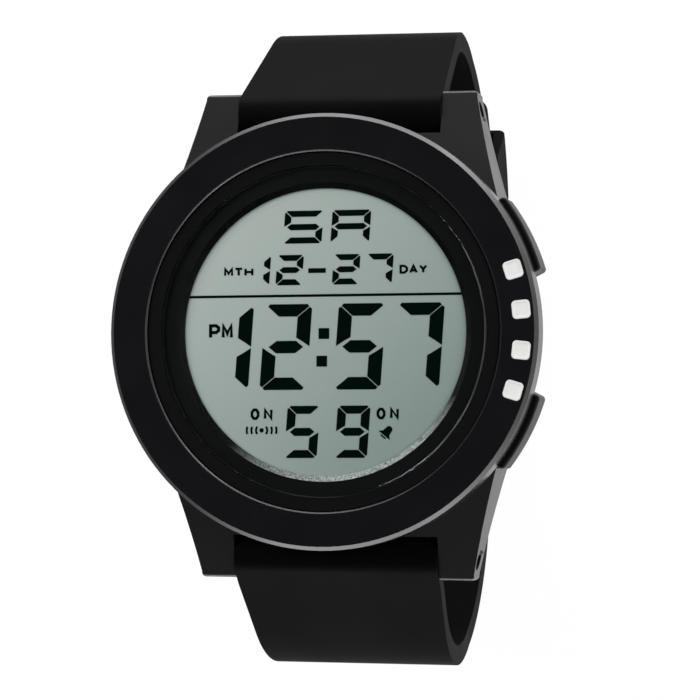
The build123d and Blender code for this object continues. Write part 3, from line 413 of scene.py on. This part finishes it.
bmesh.ops.recalc_face_normals(bm, faces=bm.faces)
new_piece(bm, "back_screw_heads", "watch", screw_steel, "screw_steel", "back_screws")

# Display: two glass plates with the liquid crystal between them and a grey-green
# polariser on top, matte, with a painted reflection that makes it paler towards its upper
# left and darker towards its lower right. The digits are the dark state of the crystal, cut
# into segments.
ink_lift = 0.01 * mm
display_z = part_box("lcd_front_glass")[1].z + ink_lift
polariser, tree, shader = new_material(
    "reflective_polariser", IOR=1.45, Specular_IOR_Level=0.1, Roughness=0.5
)
place = add_node(tree, "ShaderNodeTexCoord").outputs["Object"]
parts = add_node(tree, "ShaderNodeSeparateXYZ", {"Vector": place})
slope = add_node(
    tree, "ShaderNodeMath", {0: parts.outputs["Y"], 1: parts.outputs["X"]}, operation="SUBTRACT"
)
painted_reflection_reach = 22 * mm
painted_reflection_fall = add_node(
    tree, "ShaderNodeMapRange",
    {"Value": slope.outputs["Value"], "From Min": painted_reflection_reach, "From Max": -painted_reflection_reach},
)
# Painted reflection: the polariser's colour runs from pale at its upper left to darker at its lower
# right
painted_reflection_blend = add_node(
    tree, "ShaderNodeMix",
    {"Factor": painted_reflection_fall.outputs["Result"], "A": linear("#b5bdba"), "B": linear("#8c9995")},
    data_type="RGBA",
)
tree.links.new(painted_reflection_blend.outputs["Result"], shader.inputs["Base Color"])
dress(polariser, "lcd_front_glass", "lcd_rear_glass")

segment_ink, tree, shader = new_material(
    "liquid_crystal_dark_state", IOR=1.45, Specular_IOR_Level=0.0
)
grain(
    tree, shader, pitch=0.4 * mm, depth=0.0, roughness=(0.5, 0.6),
    colours=("#020c09", "#03110d"),
)

slant = tan(radians(4.2))
segment_gap = 0.13 * mm
ink_height = 0.02 * mm
print_turn, print_shift = radians(0.55), (0.02 * mm, -0.18 * mm)
print_scale = 1.006
lit = {
    "0": "abcdef", "1": "bc", "2": "abged", "3": "abgcd", "4": "fgbc", "5": "afgcd",
    "6": "afgedc", "7": "abc", "8": "abcdefg", "9": "abfgcd", "A": "abcefg", "S": "afgcd",
}


def add_digit(bm, symbol, x, y, width, height, bar, post):
    # One character of seven bars about its middle; bar and post are the bars' thicknesses,
    # and the cut takes off the character's outer corners.
    across, up, half, cut = width / 2, height / 2, segment_gap / 2, post / 3
    tip, shoulder, point = bar * 0.42, bar * 0.75, post * 0.45
    shapes = {
        "a": [(-across + cut, up), (across - cut, up), (across - cut / 2 - half, up - cut / 2),
              (across - post - half, up - bar), (-across + post + half, up - bar),
              (-across + cut / 2 + half, up - cut / 2)],
        "b": [(across, up - cut), (across, half), (across - post / 2, tip),
              (across - post, shoulder), (across - post, up - bar - half),
              (across - cut / 2, up - cut / 2 - half)],
        "g": [(-across + point, 0), (-across + post, bar / 2), (across - post, bar / 2),
              (across - point, 0), (across - post, -bar / 2), (-across + post, -bar / 2)],
    }
    shapes["d"] = [(u, -v) for u, v in shapes["a"]]
    shapes["c"] = [(u, -v) for u, v in shapes["b"]]
    shapes["f"] = [(-u, v) for u, v in shapes["b"]]
    shapes["e"] = [(-u, -v) for u, v in shapes["b"]]
    for key in lit[symbol]:
        bm.faces.new([bm.verts.new((x + u + slant * v, y + v, 0)) for u, v in shapes[key]])


def lay_ink(bm):
    # Sets flat shapes on the glass, turned as a whole as the photograph shows them, and
    # gives them the small thickness that makes them closed pieces.
    bmesh.ops.recalc_face_normals(bm, faces=bm.faces)
    grown = bmesh.ops.extrude_face_region(bm, geom=list(bm.faces))
    bmesh.ops.translate(bm, verts=only(bmesh.types.BMVert, grown["geom"]), vec=(0, 0, ink_height))
    bmesh.ops.recalc_face_normals(bm, faces=bm.faces)
    middle = Matrix.Translation((print_shift[0], case_y + print_shift[1], display_z))
    turned = Matrix.Rotation(print_turn, 4, "Z") @ Matrix.Scale(print_scale, 4)
    bmesh.ops.transform(bm, matrix=middle @ turned, verts=bm.verts)


# Each row: characters with their middles in mm from the dial's centre, the row's height,
# then the width and height of a character and the thickness of its bars and its posts.
rows = (
    ((("S", -2.5), ("A", 3.05)), 12.2, 4.5, 3.75, 0.7, 0.78),
    ((("1", -7.95), ("2", -4.1), ("2", 2.5), ("7", 6.35)), 7.3, 3.1, 3.46, 0.68, 0.76),
    ((("1", -11.4), ("2", -4.55), ("5", 4.05), ("7", 10.8)), -1.5, 5.5, 9.8, 1.42, 1.62),
    ((("5", -2.65), ("9", 3.2)), -11.2, 3.8, 5.95, 0.92, 1.02),
)
bm = bmesh.new()
for characters, row_y, width, height, bar, post in rows:
    for symbol, x in characters:
        add_digit(bm, symbol, x * mm, row_y * mm, width * mm, height * mm, bar * mm, post * mm)
# The dash, the two dots of the colon and the line between the date and the time, each with
# its middle, width and height in mm
plain_marks = (
    (-0.9, 7.2, 2.05, 0.56), (-0.1, 0.0, 1.24, 1.24), (-0.35, -3.15, 1.24, 1.24),
    (0, 4.35, 33.0, 0.3),
)
for mark in plain_marks:
    x, y, width, height = [value * mm for value in mark]
    bmesh.ops.create_grid(
        bm, x_segments=1, y_segments=1, size=0.5,
        matrix=Matrix.Translation((x, y, 0)) @ Matrix.Diagonal((width, height, 1, 1)),
    )
lay_ink(bm)
new_piece(bm, "display_segments", "watch", segment_ink, "lcd_glass", smooth_angle=20)


# Labels and signs beside the digits, in the same ink: generic words in a plain bold hand
# for month, day, afternoon and on, a sign for the hourly chime and a bell for the alarm.
def add_stroke(bm, points, width):
    # A flat band of even width along a line of points, closed where its ends meet.
    closed = points[0] == points[-1]
    points = [Vector(point) for point in (points[:-1] if closed else points)]
    count = len(points)
    sides = []
    for i, point in enumerate(points):
        turns = []
        for a, b in ((i - 1, i), (i, i + 1)):
            if closed or (a >= 0 and b < count):
                along = (points[b % count] - points[a]).normalized()
                turns.append(Vector((-along.y, along.x)))
        mitre = sum(turns, Vector((0, 0))).normalized()
        reach = min(width / 2 / mitre.dot(turns[0]), width)
        sides.append([bm.verts.new((*(point + side * reach * mitre), 0)) for side in (1, -1)])
    for i in range(count if closed else count - 1):
        (a, b), (c, d) = sides[i], sides[(i + 1) % count]
        bm.faces.new((b, d, c, a))


# The strokes of each letter, in a box one wide and one high
letters = {
    "A": (((0, 0), (0.5, 1), (1, 0)), ((0.27, 0.3), (0.73, 0.3))),
    "D": (((0, 0), (0, 1), (0.6, 1), (1, 0.7), (1, 0.3), (0.6, 0), (0, 0)),),
    "H": (((0, 0), (0, 1)), ((1, 0), (1, 1)), ((0.12, 0.5), (0.88, 0.5))),
    "M": (((0, 0), (0, 1), (0.5, 0.3), (1, 1), (1, 0)),),
    "N": (((0, 0), (0, 1), (1, 0), (1, 1)),),
    "O": (
        ((0.3, 0), (0, 0.3), (0, 0.7), (0.3, 1), (0.7, 1), (1, 0.7), (1, 0.3), (0.7, 0), (0.3, 0)),
    ),
    "P": (((0, 0), (0, 1), (0.7, 1), (1, 0.82), (1, 0.6), (0.7, 0.42), (0.13, 0.42)),),
    "T": (((0, 1), (1, 1)), ((0.5, 0), (0.5, 0.88))),
    "Y": (((0, 1), (0.5, 0.5), (1, 1)), ((0.5, 0), (0.5, 0.38))),
}
# Each word with its middle, its letters' width and height, their pitch and stroke, in mm
labels = (
    ("MTH", -10.1, 7.15, 0.8, 0.76, 1.2, 0.27), ("DAY", 10.3, 7.2, 0.72, 0.76, 1.12, 0.27),
    ("PM", -12.2, 0.35, 0.95, 1.34, 1.5, 0.38), ("ON", -7.4, -9.15, 0.72, 1.0, 1.55, 0.32),
    ("ON", 7.3, -9.15, 0.72, 1.0, 1.55, 0.32),
)
bm = bmesh.new()
for word, *sizes in labels:
    x, y, width, height, pitch, stroke = [size * mm for size in sizes]
    for i, letter in enumerate(word):
        left = x + (i - (len(word) - 1) / 2) * pitch - width / 2
        for line in letters[letter]:
            add_stroke(bm, [(left + u * width, y + (v - 0.5) * height) for u, v in line], stroke)

# Chime: a dot between sound waves of one height
chime_x, chime_y, chime_dot = -7.4 * mm, -11.0 * mm, 0.26 * mm
wave_reach, wave_stroke, wave_steps = 0.42 * mm, 0.24 * mm, 3
bmesh.ops.create_circle(
    bm, cap_ends=True, segments=16, radius=chime_dot,
    matrix=Matrix.Translation((chime_x, chime_y, 0)),
)
for wave_radius in (0.66 * mm, 1.2 * mm, 1.74 * mm):
    spread = asin(wave_reach / wave_radius)
    for facing in (0, pi):
        turns = [facing + spread * (step / wave_steps - 1) for step in range(2 * wave_steps + 1)]
        wave = [(chime_x + wave_radius * cos(a), chime_y + wave_radius * sin(a)) for a in turns]
        add_stroke(bm, wave, wave_stroke)

# Bell: a dome on a flared skirt over its clapper, tilted as if it swings
bell_x, bell_y, bell_tilt = 7.2 * mm, -11.25 * mm, radians(-40)
bell_place = Matrix.Translation((bell_x, bell_y, 0)) @ Matrix.Rotation(bell_tilt, 4, "Z")
bell_crown, bell_waist, bell_mouth = 0.4 * mm, 0.46 * mm, 0.85 * mm
crown_y, waist_y, mouth_y, clapper_y = 0.38 * mm, -0.12 * mm, -0.5 * mm, -0.68 * mm
clapper_half_length, clapper_stroke = 0.36 * mm, 0.18 * mm
dome_turns = [step * pi / 8 for step in range(9)]
dome = [(bell_crown * cos(turn), crown_y + bell_crown * sin(turn)) for turn in dome_turns]
skirt = [
    (-bell_waist, waist_y), (-bell_mouth, mouth_y), (bell_mouth, mouth_y), (bell_waist, waist_y)
]
clapper = [
    (bell_place @ Vector((side * clapper_half_length, clapper_y, 0)))[:2] for side in (-1, 1)
]
bm.faces.new([bm.verts.new(bell_place @ Vector((*point, 0))) for point in dome + skirt])
add_stroke(bm, clapper, clapper_stroke)
lay_ink(bm)
new_piece(bm, "display_labels", "watch", segment_ink, "lcd_glass", smooth_angle=20)

# Dial ring: a black moulded ring with a frosted cone that slopes down to the display. Its
# colour carries a painted glint of speckled silver round 6 o'clock and fades to painted
# shade, black, towards both sides.
frosted_silver, tree, shader = new_material(
    "metallised_frosted_cone", Metallic=0.9, Roughness=0.3
)
speckle_pitch, painted_glint_direction = 0.16 * mm, (0.216, -0.976, 0.0)
place = add_node(tree, "ShaderNodeTexCoord").outputs["Object"]
speckle = add_node(
    tree, "ShaderNodeTexNoise",
    {"Vector": place, "Scale": 1 / speckle_pitch, "Detail": 4.0, "Roughness": 0.7},
)
speckle_ramp = add_node(tree, "ShaderNodeValToRGB", {"Fac": speckle.outputs["Fac"]})
speckle_ramp.color_ramp.elements[0].position = 0.38
speckle_ramp.color_ramp.elements[0].color = linear("#343a39")
speckle_ramp.color_ramp.elements[1].position = 0.62
speckle_ramp.color_ramp.elements[1].color = linear("#b4bab8")
bump = add_node(tree, "ShaderNodeBump", {"Height": speckle.outputs["Fac"], "Distance": 0.05 * mm})
# Painted glint and painted shade: the cone's colour turns speckled silver towards 6 o'clock and
# black away from it
toward_painted_glint = add_node(
    tree, "ShaderNodeVectorMath", {0: place, 1: painted_glint_direction}, operation="DOT_PRODUCT"
)
painted_glint_share = add_node(
    tree, "ShaderNodeMapRange",
    {"Value": toward_painted_glint.outputs["Value"], "From Min": 9.5 * mm, "From Max": 16.5 * mm},
)
painted_glint_colour = add_node(
    tree, "ShaderNodeMix",
    {"Factor": painted_glint_share.outputs["Result"], "A": linear("#070908"),
     "B": speckle_ramp.outputs["Color"]},
    data_type="RGBA",
)
tree.links.new(painted_glint_colour.outputs["Result"], shader.inputs["Base Color"])
tree.links.new(bump.outputs["Normal"], shader.inputs["Normal"])
dress(frosted_silver, "dial_ring")

# Crystal: a clear acrylic disc, diamond-turned and polished, with its rim printed black
# from below so that only the display shows through it. Its polish mirrors the room faintly.
crystal_acrylic = bpy.data.materials.new("polished_clear_acrylic")
crystal_acrylic.use_nodes = True
tree = crystal_acrylic.node_tree
tree.nodes.clear()
through = add_node(tree, "ShaderNodeBsdfTransparent", {"Color": (0.97, 0.98, 0.975, 1)})
mirror_light = add_node(
    tree, "ShaderNodeBsdfGlossy", {"Color": (0.5, 0.5, 0.5, 1), "Roughness": 0.03}
)
fresnel = add_node(tree, "ShaderNodeFresnel", {"IOR": 1.3})
inside = add_node(tree, "ShaderNodeNewGeometry").outputs["Backfacing"]
outside = add_node(tree, "ShaderNodeMath", {0: 1.0, 1: inside}, operation="SUBTRACT")
shine = add_node(
    tree, "ShaderNodeMath", {0: fresnel.outputs["Fac"], 1: outside.outputs["Value"]},
    operation="MULTIPLY",
)
clear_mix = add_node(tree, "ShaderNodeMixShader", {"Fac": shine.outputs["Value"]})
tree.links.new(through.outputs["BSDF"], clear_mix.inputs[1])
tree.links.new(mirror_light.outputs["BSDF"], clear_mix.inputs[2])
add_node(tree, "ShaderNodeOutputMaterial", {"Surface": clear_mix.outputs["Shader"]})
dress(crystal_acrylic, "crystal")

crystal_low, crystal_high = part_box("crystal")
mask_ink, tree, shader = new_material("black_screen_print", IOR=1.5, Specular_IOR_Level=0.1)
grain(
    tree, shader, pitch=0.3 * mm, depth=0.001 * mm, roughness=(0.35, 0.45),
    colours=("#070909", "#0a0c0c"),
)
mask_inner, mask_margin, mask_lift = 17.15 * mm, 0.1 * mm, 0.004 * mm
mask_outer = (crystal_high.x - crystal_low.x) / 2 - mask_margin
bm = bmesh.new()
bmesh.ops.create_circle(
    bm, segments=128, radius=mask_outer,
    matrix=Matrix.Translation((0, case_y, crystal_low.z + mask_lift)),
)
rim = bmesh.ops.extrude_edge_only(bm, edges=bm.edges[:])
bmesh.ops.scale(
    bm, verts=only(bmesh.types.BMVert, rim["geom"]), vec=(mask_inner / mask_outer,) * 2 + (1,),
    space=Matrix.Translation((0, -case_y, 0)),
)
bmesh.ops.recalc_face_normals(bm, faces=bm.faces)
new_piece(bm, "crystal_mask", "watch", mask_ink, "dial_black")

# Bezel: a broad ring moulded in the same black nylon, pressed over the crystal's wall,
# with a chamfer round its outside that catches the light.
bezel_nylon, tree, shader = new_material(
    "moulded_black_bezel_nylon", IOR=1.53, Specular_IOR_Level=0.14
)
grain(
    tree, shader, pitch=0.1 * mm, depth=0.0015 * mm, roughness=(0.22, 0.28),
    colours=("#101012", "#131315"),
)
bezel_turn = Matrix.Rotation(radians(0.35), 3, "Z")
bm = copy_of("bezel_ring")
break_edges(bm, radius=0.1 * mm, segments=2, least_angle=25, least_length=0.3 * mm)
bmesh.ops.rotate(bm, verts=bm.verts, cent=(0, case_y, 0), matrix=bezel_turn)
new_piece(bm, "bezel_moulding", "watch", bezel_nylon, "bezel_resin", "bezel_ring")

# Bezel markers: four small white blocks of moulded resin set into the bezel. They are
# glossy, and each has a shallow dish in its top.
marker_gloss, tree, shader = new_material("gloss_white_inlay", IOR=1.5)
grain(
    tree, shader, pitch=0.3 * mm, depth=0.001 * mm, roughness=(0.2, 0.3),
    colours=("#e4e4e2", "#ebebe9"),
)
marker_rim, marker_dish = 0.22 * mm, 0.09 * mm
least_marker_area = 1.0 * mm ** 2
bm = copy_of("bezel_markers")
break_edges(bm, radius=0.06 * mm, segments=2)
tops = [
    f for f in bm.faces if f.normal.z > nearly_level and f.calc_area() > least_marker_area
]
bmesh.ops.inset_individual(bm, faces=tops, thickness=marker_rim)
bmesh.ops.inset_individual(bm, faces=tops, thickness=marker_dish, depth=-marker_dish)
bmesh.ops.rotate(bm, verts=bm.verts, cent=(0, case_y, 0), matrix=bezel_turn)
new_piece(bm, "marker_inlays", "watch", marker_gloss, "marker_white", "bezel_markers")

# Pushers: four moulded caps that slide in pockets of the case, with an outer face just
# outside the bezel's edge. They are the case's black nylon with a duller skin.
cap_nylon, tree, shader = new_material(
    "moulded_black_cap_nylon", IOR=1.53, Specular_IOR_Level=0.035
)
grain(
    tree, shader, pitch=0.12 * mm, depth=0.003 * mm, roughness=(0.3, 0.4),
    colours=("#0e0e0f", "#131314"),
)
dress(cap_nylon, *[f"pusher_cap_{hour}" for hour in hours])

# Strap: two halves of soft polyurethane, each moulded in one piece with an eye for its
# spring bar. They have soft round edges and a fine matte skin.
strap_rubber, tree, shader = new_material(
    "moulded_black_polyurethane", IOR=1.5, Specular_IOR_Level=0.01
)
grain(
    tree, shader, pitch=0.15 * mm, depth=0.005 * mm, roughness=(0.5, 0.6),
    colours=("#070707", "#0b0b0b"),
)
strap_edge = 0.8 * mm
bar_z = (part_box("bar_tube_upper")[0].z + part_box("bar_tube_upper")[1].z) / 2
eye_gap, eye_side_gap, eye_ease = 0.3 * mm, 0.25 * mm, 1.6 * mm
strap_end_half_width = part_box("strap_upper")[1].x
for half in ("strap_upper", "strap_lower"):
    bm = copy_of(half)
    break_edges(bm, radius=strap_edge, segments=4, least_length=0.25 * mm)
    # The soft eye fills the space between the lugs and the case, so no light shows past it
    eye_face = min(abs(v.co.y - case_y) for v in bm.verts if v.co.z > bar_z)
    for vert in bm.verts:
        side, end = (1 if vert.co.x > 0 else -1), (1 if vert.co.y > case_y else -1)
        inward = 1 - (abs(vert.co.y - case_y) - eye_face) / eye_ease
        if vert.co.z > bar_z - eye_ease and inward > 0:
            vert.co.y -= end * eye_gap * inward
        upward = min(1, max(0, (vert.co.z - bar_z + 2 * eye_ease) / eye_ease))
        outward = max(0, abs(vert.co.x) / strap_end_half_width)
        vert.co.x += side * eye_side_gap * upward * outward
    new_piece(bm, half + "_moulding", "watch", strap_rubber, "strap_resin", half)

# Keepers: two bands of the strap's polyurethane. One is held beside the buckle, and the
# other slides round the bend over the strap's tail.
for keeper, body in (("fixed_keeper", "watch"), ("sliding_keeper", "sliding_keeper")):
    bm = copy_of(keeper)
    break_edges(bm, radius=0.3 * mm, segments=3)
    new_piece(bm, keeper + "_band", body, strap_rubber, "strap_resin", keeper)

# Buckle: a stamped steel frame and tongue under a black coating, on a bare steel pin. The
# coating is satin and slightly uneven, as a physical vapour coating is.
black_coating, tree, shader = new_material("black_vapour_coated_steel", Metallic=1.0)
grain(
    tree, shader, pitch=0.1 * mm, depth=0.002 * mm, roughness=(0.3, 0.42),
    colours=("#2a2a2c", "#343436"),
)
for body, node in (("buckle", "buckle_frame"), ("tongue", "buckle_tongue")):
    bm = copy_of(node)
    break_edges(bm, radius=0.2 * mm, segments=3, least_length=0.2 * mm)
    new_piece(bm, body + "_stamping", body, black_coating, "buckle_steel", node)
dress(pin_steel, "buckle_pin")

# Floor and backdrop: one pale sheet. What the camera and polished faces see of it is plain
# white, and part of it is a true surface that keeps the watch's shadow.
floor_size = 0.5
floor_share = 0.93
floor_material = bpy.data.materials.new("white_sweep")
floor_material.use_nodes = True
tree = floor_material.node_tree
tree.nodes.clear()
paper = add_node(tree, "ShaderNodeBsdfDiffuse", {"Color": (0.9, 0.9, 0.9, 1)})
glow = add_node(tree, "ShaderNodeEmission", {"Color": (1, 1, 1, 1), "Strength": 1.03})
ray = add_node(tree, "ShaderNodeLightPath")
seen = add_node(
    tree, "ShaderNodeMath", {0: ray.outputs["Is Camera Ray"], 1: ray.outputs["Is Glossy Ray"]},
    operation="MAXIMUM",
)
seen = add_node(
    tree, "ShaderNodeMath", {0: seen.outputs["Value"], 1: ray.outputs["Is Transmission Ray"]},
    operation="MAXIMUM",
)
share = add_node(
    tree, "ShaderNodeMath", {0: seen.outputs["Value"], 1: floor_share}, operation="MULTIPLY"
)
sweep = add_node(tree, "ShaderNodeMixShader", {"Fac": share.outputs["Value"]})
tree.links.new(paper.outputs["BSDF"], sweep.inputs[1])
tree.links.new(glow.outputs["Emission"], sweep.inputs[2])
add_node(tree, "ShaderNodeOutputMaterial", {"Surface": sweep.outputs["Shader"]})
bm = bmesh.new()
bmesh.ops.create_grid(bm, x_segments=1, y_segments=1, size=floor_size / 2)
floor_mesh = bpy.data.meshes.new("floor")
bm.to_mesh(floor_mesh)
bm.free()
floor_mesh.materials.append(floor_material)
floor = bpy.data.objects.new("floor", floor_mesh)
bpy.context.scene.collection.objects.link(floor)

# Studio light: a white room whose ceiling is dark, so that polished faces show white walls
# at their edges, and soft boxes round the watch that light the dial from the sides.
world = bpy.data.worlds.new("studio")
world.use_nodes = True
bpy.context.scene.world = world
tree = world.node_tree
tree.nodes.clear()
ray = add_node(tree, "ShaderNodeLightPath")
heading = add_node(tree, "ShaderNodeTexCoord").outputs["Generated"]
toward = add_node(tree, "ShaderNodeSeparateXYZ", {"Vector": heading}).outputs
wall_height_share = 0.5
walls = add_node(
    tree, "ShaderNodeMapRange",
    {"Value": toward["Z"], "From Min": 0.0, "From Max": wall_height_share,
     "To Min": 0.6, "To Max": 0.03},
    interpolation_type="SMOOTHSTEP",
)
# Where the walls meet the floor a bright band runs round the room, which the upright faces
# mirror. It is dim at 9 o'clock and brightest beyond 6 and 12 o'clock.
skyline_strength = 8.0
far_height = add_node(tree, "ShaderNodeMath", {0: toward["Z"]}, operation="ABSOLUTE")
skyline = add_node(
    tree, "ShaderNodeMapRange",
    {"Value": far_height.outputs["Value"], "From Min": 0.04, "From Max": 0.38,
     "To Min": skyline_strength, "To Max": 0.0},
    interpolation_type="SMOOTHSTEP",
)
right_side = add_node(
    tree, "ShaderNodeMapRange",
    {"Value": toward["X"], "From Min": -0.8, "From Max": -0.3, "To Min": 0.15, "To Max": 1.0},
    interpolation_type="SMOOTHSTEP",
)
far_along = add_node(tree, "ShaderNodeMath", {0: toward["Y"]}, operation="ABSOLUTE")
ends = add_node(
    tree, "ShaderNodeMapRange",
    {"Value": far_along.outputs["Value"], "From Min": 0.3, "From Max": 0.9,
     "To Min": 0.8, "To Max": 2.0},
    interpolation_type="SMOOTHSTEP",
)
strip = add_node(
    tree, "ShaderNodeMath", {0: skyline.outputs["Result"], 1: right_side.outputs["Result"]},
    operation="MULTIPLY",
)
strip = add_node(
    tree, "ShaderNodeMath", {0: strip.outputs["Value"], 1: ends.outputs["Result"]},
    operation="MULTIPLY",
)
mirrored_light = add_node(
    tree, "ShaderNodeMath", {0: walls.outputs["Result"], 1: strip.outputs["Value"]},
    operation="ADD",
)
room = add_node(tree, "ShaderNodeBackground", {"Color": (1, 1, 1, 1), "Strength": 0.12})
mirrored = add_node(
    tree, "ShaderNodeBackground",
    {"Color": (1, 1, 1, 1), "Strength": mirrored_light.outputs["Value"]},
)
white = add_node(tree, "ShaderNodeBackground", {"Color": (1, 1, 1, 1), "Strength": 1.0})
glossy_mix = add_node(tree, "ShaderNodeMixShader", {"Fac": ray.outputs["Is Glossy Ray"]})
tree.links.new(room.outputs["Background"], glossy_mix.inputs[1])
tree.links.new(mirrored.outputs["Background"], glossy_mix.inputs[2])
seen = add_node(
    tree, "ShaderNodeMath", {0: ray.outputs["Is Camera Ray"], 1: ray.outputs["Is Transmission Ray"]},
    operation="MAXIMUM",
)
view_mix = add_node(tree, "ShaderNodeMixShader", {"Fac": seen.outputs["Value"]})
tree.links.new(glossy_mix.outputs["Shader"], view_mix.inputs[1])
tree.links.new(white.outputs["Background"], view_mix.inputs[2])
add_node(tree, "ShaderNodeOutputWorld", {"Surface": view_mix.outputs["Shader"]})

# Each soft box with its place in metres, its width and its power in watts
aim = Vector((0, case_y, bezel_top - 10 * mm))
boxes = (
    ("box_10_high", (-0.95, 0.4, 0.85), 0.8, 10.5),
    ("box_3_high", (1.0, 0.15, 0.9), 0.8, 10.0),
    ("box_6_high", (-0.2, -0.85, 1.0), 0.5, 0.8),
    ("box_12", (0.0, 1.0, 0.7), 0.8, 4.0),
    ("panel_1", (0.6, 1.0, 0.14), 0.35, 3.0),
    ("panel_5", (0.5, -1.0, 0.12), 0.3, 2.0),
)
for name, place, size, power in boxes:
    lamp = bpy.data.lights.new(name, "AREA")
    lamp.shape = "SQUARE"
    lamp.size = size
    lamp.energy = power
    lamp_object = bpy.data.objects.new(name, lamp)
    lamp_object.location = place
    lamp_object.rotation_euler = (Vector(place) - aim).to_track_quat("Z", "Y").to_euler()
    bpy.context.scene.collection.objects.link(lamp_object)

# Camera: the photograph's angle, 12 degrees from the dial's axis towards 3 o'clock and a
# little towards 6 o'clock, as fitted to the bezel, the lugs and their holes.
azimuth, lowered, roll = radians(12), radians(2.21), radians(0.48)
distance = 343.6 * mm
pixels_per_mm, photo_width_pixels = 8.775, 700
aim_right, aim_up = 3.34 * mm, -2.12 * mm
back = Vector((sin(azimuth) * cos(lowered), -sin(lowered), cos(azimuth) * cos(lowered)))
level_right = Vector((0, 1, 0)).cross(back).normalized()
level_up = back.cross(level_right)
right = cos(roll) * level_right + sin(roll) * level_up
up = cos(roll) * level_up - sin(roll) * level_right
target = Vector((0, case_y, bezel_top)) + aim_right * level_right + aim_up * level_up
turned = Matrix((right, up, back)).transposed().to_4x4()
camera_data = bpy.data.cameras.new("camera")
camera_data.sensor_fit = "HORIZONTAL"
camera_data.sensor_width = 36.0
camera_data.lens = camera_data.sensor_width * pixels_per_mm * (distance / mm) / photo_width_pixels
camera = bpy.data.objects.new("camera", camera_data)
camera.matrix_world = Matrix.Translation(target + distance * back) @ turned
bpy.context.scene.collection.objects.link(camera)
bpy.context.scene.camera = camera
bpy.context.scene.view_settings.view_transform = "Standard"
